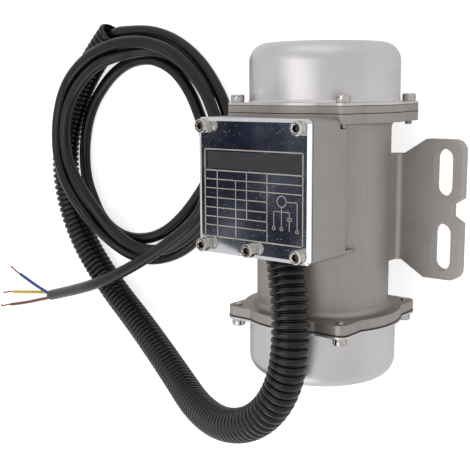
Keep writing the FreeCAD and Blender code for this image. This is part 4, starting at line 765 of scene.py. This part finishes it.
SOCKET_RINGS = ((3.78, 3.06), (3.6, 3.0), (1.85, 3.0), (1.7, 2.5))      # height, width over flats
DRILL_RINGS = ((1.45, 0.5), (1.4, 0.05))
SHADED_ABOVE = 1.3              # the socket's own faces take the darker colour: painted shade in the recess
SHADED_WITHIN = 1.78


def round_ring(height, radius):
    return lambda angle: Vector((radius * math.cos(angle), radius * math.sin(angle), height))


def knurled_ring(height, radius, depth):
    """Ring whose every second point is pressed in."""
    def place(angle):
        odd = round(angle * SCREW_SEGMENTS / (2 * math.pi)) % 2
        return round_ring(height, radius - depth * odd)(angle)
    return place


def hexagon_ring(height, flats):
    """Ring with six flats."""
    def place(angle):
        within = (angle + SIXTH_TURN / 2) % SIXTH_TURN - SIXTH_TURN / 2
        return round_ring(height, flats / 2 / math.cos(within))(angle)
    return place


def thread_ring(height):
    """Ring that follows the thread's groove."""
    def place(angle):
        share = (height / THREAD_PITCH - angle / (2 * math.pi)) % 1.0
        return round_ring(height, THREAD_RADIUS - THREAD_DEPTH * abs(2 * share - 1))(angle)
    return place


def socket_screw(length):
    """Rings of an M4 socket head screw, from its tip up and down into its socket (millimetres)."""
    rings = [round_ring(-length + height, radius) for height, radius in TIP_RINGS]
    steps = int(THREADED_LENGTH / THREAD_PITCH * THREAD_RINGS)
    for step in range(steps + 1):
        rings.append(thread_ring(-length + TIP_LENGTH + THREADED_LENGTH * step / steps))
    rings.append(round_ring(-length + TIP_LENGTH + THREADED_LENGTH + THREAD_RUNOUT, THREAD_RADIUS))
    rings += [round_ring(height, radius) for height, radius in NECK_RINGS]
    rings += [knurled_ring(height, radius, depth) for height, radius, depth in KNURL_RINGS]
    rings += [round_ring(height, radius) for height, radius in CROWN_RINGS]
    rings += [hexagon_ring(height, flats) for height, flats in SOCKET_RINGS]
    rings += [round_ring(height, radius) for height, radius in DRILL_RINGS]
    return rings


def placed_screws(name, length, places, replaced):
    """One mesh with a screw at every (place, direction, turn), instead of a CAD node."""
    rings = socket_screw(length)
    whole = bmesh.new()
    for place, direction, turn in places:
        piece = ring_mesh(rings, SCREW_SEGMENTS)
        for face in piece.faces:
            middle = face.calc_center_median()
            # faces inside the hex socket take the second material: painted shade in the recess
            if middle.z > SHADED_ABOVE and middle.xy.length < SHADED_WITHIN:
                face.material_index = 1
        spin = Matrix.Rotation(math.radians(turn), 4, "Z")
        stand = Vector(direction).to_track_quat("Z", "X").to_matrix().to_4x4()
        matrix = Matrix.Translation(mm(*place)) @ stand @ spin @ Matrix.Scale(MM, 4)
        bmesh.ops.transform(piece, matrix=matrix, verts=piece.verts)
        held = bpy.data.meshes.new("held")
        piece.to_mesh(held)
        piece.free()
        whole.from_mesh(held)
        bpy.data.meshes.remove(held)
    screws = finish_mesh(name, whole, "screw_steel")
    # second material: near-black painted shade for the socket faces
    screws.data.materials.append(MATERIALS["socket_shade"])
    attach(screws, MOTOR)
    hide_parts(replaced)


def any_turn():
    """Degrees that a hexagon may be turned by."""
    return random.uniform(0, 60)


def box_mm(node):
    """Corners of a CAD node in millimetres."""
    low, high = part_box(node)
    return Vector(low) / MM, Vector(high) / MM


def cover_spots():
    """Middles of the five cover screws: four corners and one above the conduit."""
    low, high = box_mm("cover_screws")
    left, right = high.y - HEAD_RADIUS, low.y + HEAD_RADIUS
    far, near = high.x - HEAD_RADIUS, low.x + HEAD_RADIUS
    return (far, left), (far, right), (near, left), (near, right), (near, (left + right) / 2)


COVER_TOP = box_mm("box_cover")[1].z
COVER_SPOTS = cover_spots()
WASHER_HEIGHT = 1.0
WASHER_STEPS = 48
WASHER_GAP = math.radians(14)
WASHER_SPRING = 0.16            # how far one end stands above the other
WASHER_SECTION = (              # radius, height
    (2.15, 0.02), (3.32, 0.02), (3.4, 0.1), (3.4, 0.74), (3.32, 0.82), (2.15, 0.82),
)


def make_cap_screws():
    """Four screws at each end, with their heads outwards."""
    for side, direction in (("front", 1), ("rear", -1)):
        low, high = box_mm(f"{side}_cap_screws")
        outer, inner = (high.x, low.x) if direction > 0 else (low.x, high.x)
        seat = outer - direction * HEAD_HEIGHT
        places = []
        for y in (low.y + HEAD_RADIUS, high.y - HEAD_RADIUS):
            for z in (low.z + HEAD_RADIUS, high.z - HEAD_RADIUS):
                places.append(((seat, y, z), (direction, 0, 0), any_turn()))
        placed_screws(f"{side}_socket_screws", abs(seat - inner), places, f"{side}_cap_screws")


def make_cover_screws():
    """Five screws standing on the spring washers."""
    seat = COVER_TOP + WASHER_HEIGHT
    places = [((x, y, seat), (0, 0, 1), any_turn()) for x, y in COVER_SPOTS]
    placed_screws("cover_socket_screws", COVER_SCREW_LENGTH, places, "cover_screws")


def make_spring_washers():
    """Split washers whose ends spring apart a little."""
    whole = bmesh.new()
    for number, (x, y) in enumerate(COVER_SPOTS):
        start = SIXTH_TURN * number + WASHER_GAP / 2
        rows = []
        for step in range(WASHER_STEPS + 1):
            share = step / WASHER_STEPS
            angle = start + (2 * math.pi - WASHER_GAP) * share
            base = COVER_TOP + WASHER_SPRING * share
            rows.append([
                whole.verts.new(mm(x + radius * math.cos(angle), y + radius * math.sin(angle), base + height))
                for radius, height in WASHER_SECTION
            ])
        join_rows(whole, rows)
        whole.faces.new(rows[0])
        whole.faces.new(list(reversed(rows[-1])))
    washers = finish_mesh("split_washers", whole, "screw_steel", smooth=False)
    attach(washers, MOTOR)
    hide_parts("cover_spring_washers")


# --- Blank rating table etched on the cover ------------------------------------------------

FRAME_WIDTH = 0.55
RULE_WIDTH = 0.42
SYMBOL_WIDTH = 0.32
LINE_THICKNESS = 0.05
TABLE_LEFT, TABLE_RIGHT = 29.5, -29.5           # along Y, as the cover is read
TABLE_TOP, TABLE_BOTTOM = 34.9, -8.3            # along X
HEAD_LINE = 24.6                                # foot of the table's heading
SYMBOL_SIDE = -9.0                              # the connection symbol stands right of this
FULL_ROWS = (20.2, 15.8)
SHORT_ROWS = (11.1, 6.2, 1.7, -2.6)             # end at the symbol's side
COLUMNS = (                                     # place along Y, foot and top along X
    (21.6, TABLE_BOTTOM, HEAD_LINE), (10.0, TABLE_BOTTOM, 20.2), (3.3, 1.7, HEAD_LINE),
    (SYMBOL_SIDE, TABLE_BOTTOM, HEAD_LINE),
)
PANEL_MARGINS = (1.0, 1.2, 1.0, 2.0)            # below, right, above and left
MOTOR_X, MOTOR_Y, MOTOR_RADIUS = 12.0, -17.5, 2.6
BRANCH_X = 7.2                                  # where the branches leave the motor's lead
BRANCHES = (-13.0, MOTOR_Y)
BRANCH_FOOT = 0.2
CAPACITOR_Y = -22.0
PLATE_REACH = 1.4
PLATES = (4.4, 3.4)
CAPACITOR_FOOT = -1.5
SUPPLY_Y = -26.4
SUPPLY_FOOT = -0.4
END_RADIUS = 0.8                                # rings at the ends of the leads
END_X = -0.8
SUPPLY_END_X = -1.4
CIRCLE_STEPS = 40


def add_box(mesh, low, high):
    """Closed box between two corners, in millimetres."""
    corners = [mesh.verts.new(mm(x, y, z)) for z in (low[2], high[2])
               for x, y in ((low[0], low[1]), (high[0], low[1]), (high[0], high[1]), (low[0], high[1]))]
    for face in ((3, 2, 1, 0), (4, 5, 6, 7), (0, 1, 5, 4), (1, 2, 6, 5), (2, 3, 7, 6), (3, 0, 4, 7)):
        mesh.faces.new([corners[n] for n in face])


def add_line(mesh, x_from, y_from, x_to, y_to, width):
    """Etched line along X or Y on top of the cover."""
    half = width / 2
    low = (min(x_from, x_to) - half, min(y_from, y_to) - half, COVER_TOP)
    high = (max(x_from, x_to) + half, max(y_from, y_to) + half, COVER_TOP + LINE_THICKNESS)
    add_box(mesh, low, high)


def add_circle(mesh, x, y, radius):
    """Etched ring on top of the cover."""
    inner, outer = radius - SYMBOL_WIDTH / 2, radius + SYMBOL_WIDTH / 2
    section = ((inner, 0), (outer, 0), (outer, LINE_THICKNESS), (inner, LINE_THICKNESS))
    rows = []
    for step in range(CIRCLE_STEPS):
        angle = 2 * math.pi * step / CIRCLE_STEPS
        rows.append([
            mesh.verts.new(mm(x + reach * math.cos(angle), y + reach * math.sin(angle), COVER_TOP + height))
            for reach, height in section
        ])
    join_rows(mesh, rows + rows[:1])


def add_rules(mesh):
    """Frame, rows and columns of the empty table."""
    for x in (TABLE_TOP, HEAD_LINE, TABLE_BOTTOM):
        add_line(mesh, x, TABLE_LEFT, x, TABLE_RIGHT, FRAME_WIDTH)
    for y in (TABLE_LEFT, TABLE_RIGHT):
        add_line(mesh, TABLE_TOP, y, TABLE_BOTTOM, y, FRAME_WIDTH)
    for rows, right in ((FULL_ROWS, TABLE_RIGHT), (SHORT_ROWS, SYMBOL_SIDE)):
        for x in rows:
            add_line(mesh, x, TABLE_LEFT, x, right, RULE_WIDTH)
    for y, low, high in COLUMNS:
        add_line(mesh, low, y, high, y, RULE_WIDTH)


def add_symbol(mesh):
    """Connection symbol without letters: motor, two branches, capacitor and supply."""
    lines = [
        (MOTOR_X, MOTOR_Y - MOTOR_RADIUS, MOTOR_X, SUPPLY_Y),
        (MOTOR_X, SUPPLY_Y, SUPPLY_FOOT, SUPPLY_Y),
        (MOTOR_X - MOTOR_RADIUS, MOTOR_Y, BRANCH_X, MOTOR_Y),
        (BRANCH_X, BRANCHES[0], BRANCH_X, CAPACITOR_Y),
        (BRANCH_X, CAPACITOR_Y, PLATES[0], CAPACITOR_Y),
        (PLATES[1], CAPACITOR_Y, CAPACITOR_FOOT, CAPACITOR_Y),
    ]
    lines += [(BRANCH_X, y, BRANCH_FOOT, y) for y in BRANCHES]
    lines += [(x, CAPACITOR_Y + PLATE_REACH, x, CAPACITOR_Y - PLATE_REACH) for x in PLATES]
    for line in lines:
        add_line(mesh, *line, SYMBOL_WIDTH)
    add_circle(mesh, MOTOR_X, MOTOR_Y, MOTOR_RADIUS)
    for y in BRANCHES:
        add_circle(mesh, END_X, y, END_RADIUS)
    add_circle(mesh, SUPPLY_END_X, SUPPLY_Y, END_RADIUS)


def make_table():
    """Empty rating table with a connection symbol, and a bare panel in its heading."""
    mesh = bmesh.new()
    add_rules(mesh)
    add_symbol(mesh)
    lines = finish_mesh("table_lines", mesh, "etched", smooth=False)
    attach(lines, MOTOR)
    below, right, above, left = PANEL_MARGINS
    panel_mesh = bmesh.new()
    add_box(panel_mesh, (HEAD_LINE + below, TABLE_RIGHT + right, COVER_TOP),
            (TABLE_TOP - above, TABLE_LEFT - left, COVER_TOP + LINE_THICKNESS / 2))
    panel = finish_mesh("blank_panel", panel_mesh, "blank_panel", smooth=False)
    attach(panel, MOTOR)


# --- Scene ---------------------------------------------------------------------------------

make_camera()
make_conduit()
make_cable()
make_wires()
make_world()
make_floor()
make_cover_flag()
make_lights()
dress_cad()
make_cap_screws()
make_cover_screws()
make_spring_washers()
make_table()
bpy.context.scene.view_settings.view_transform = "Standard"
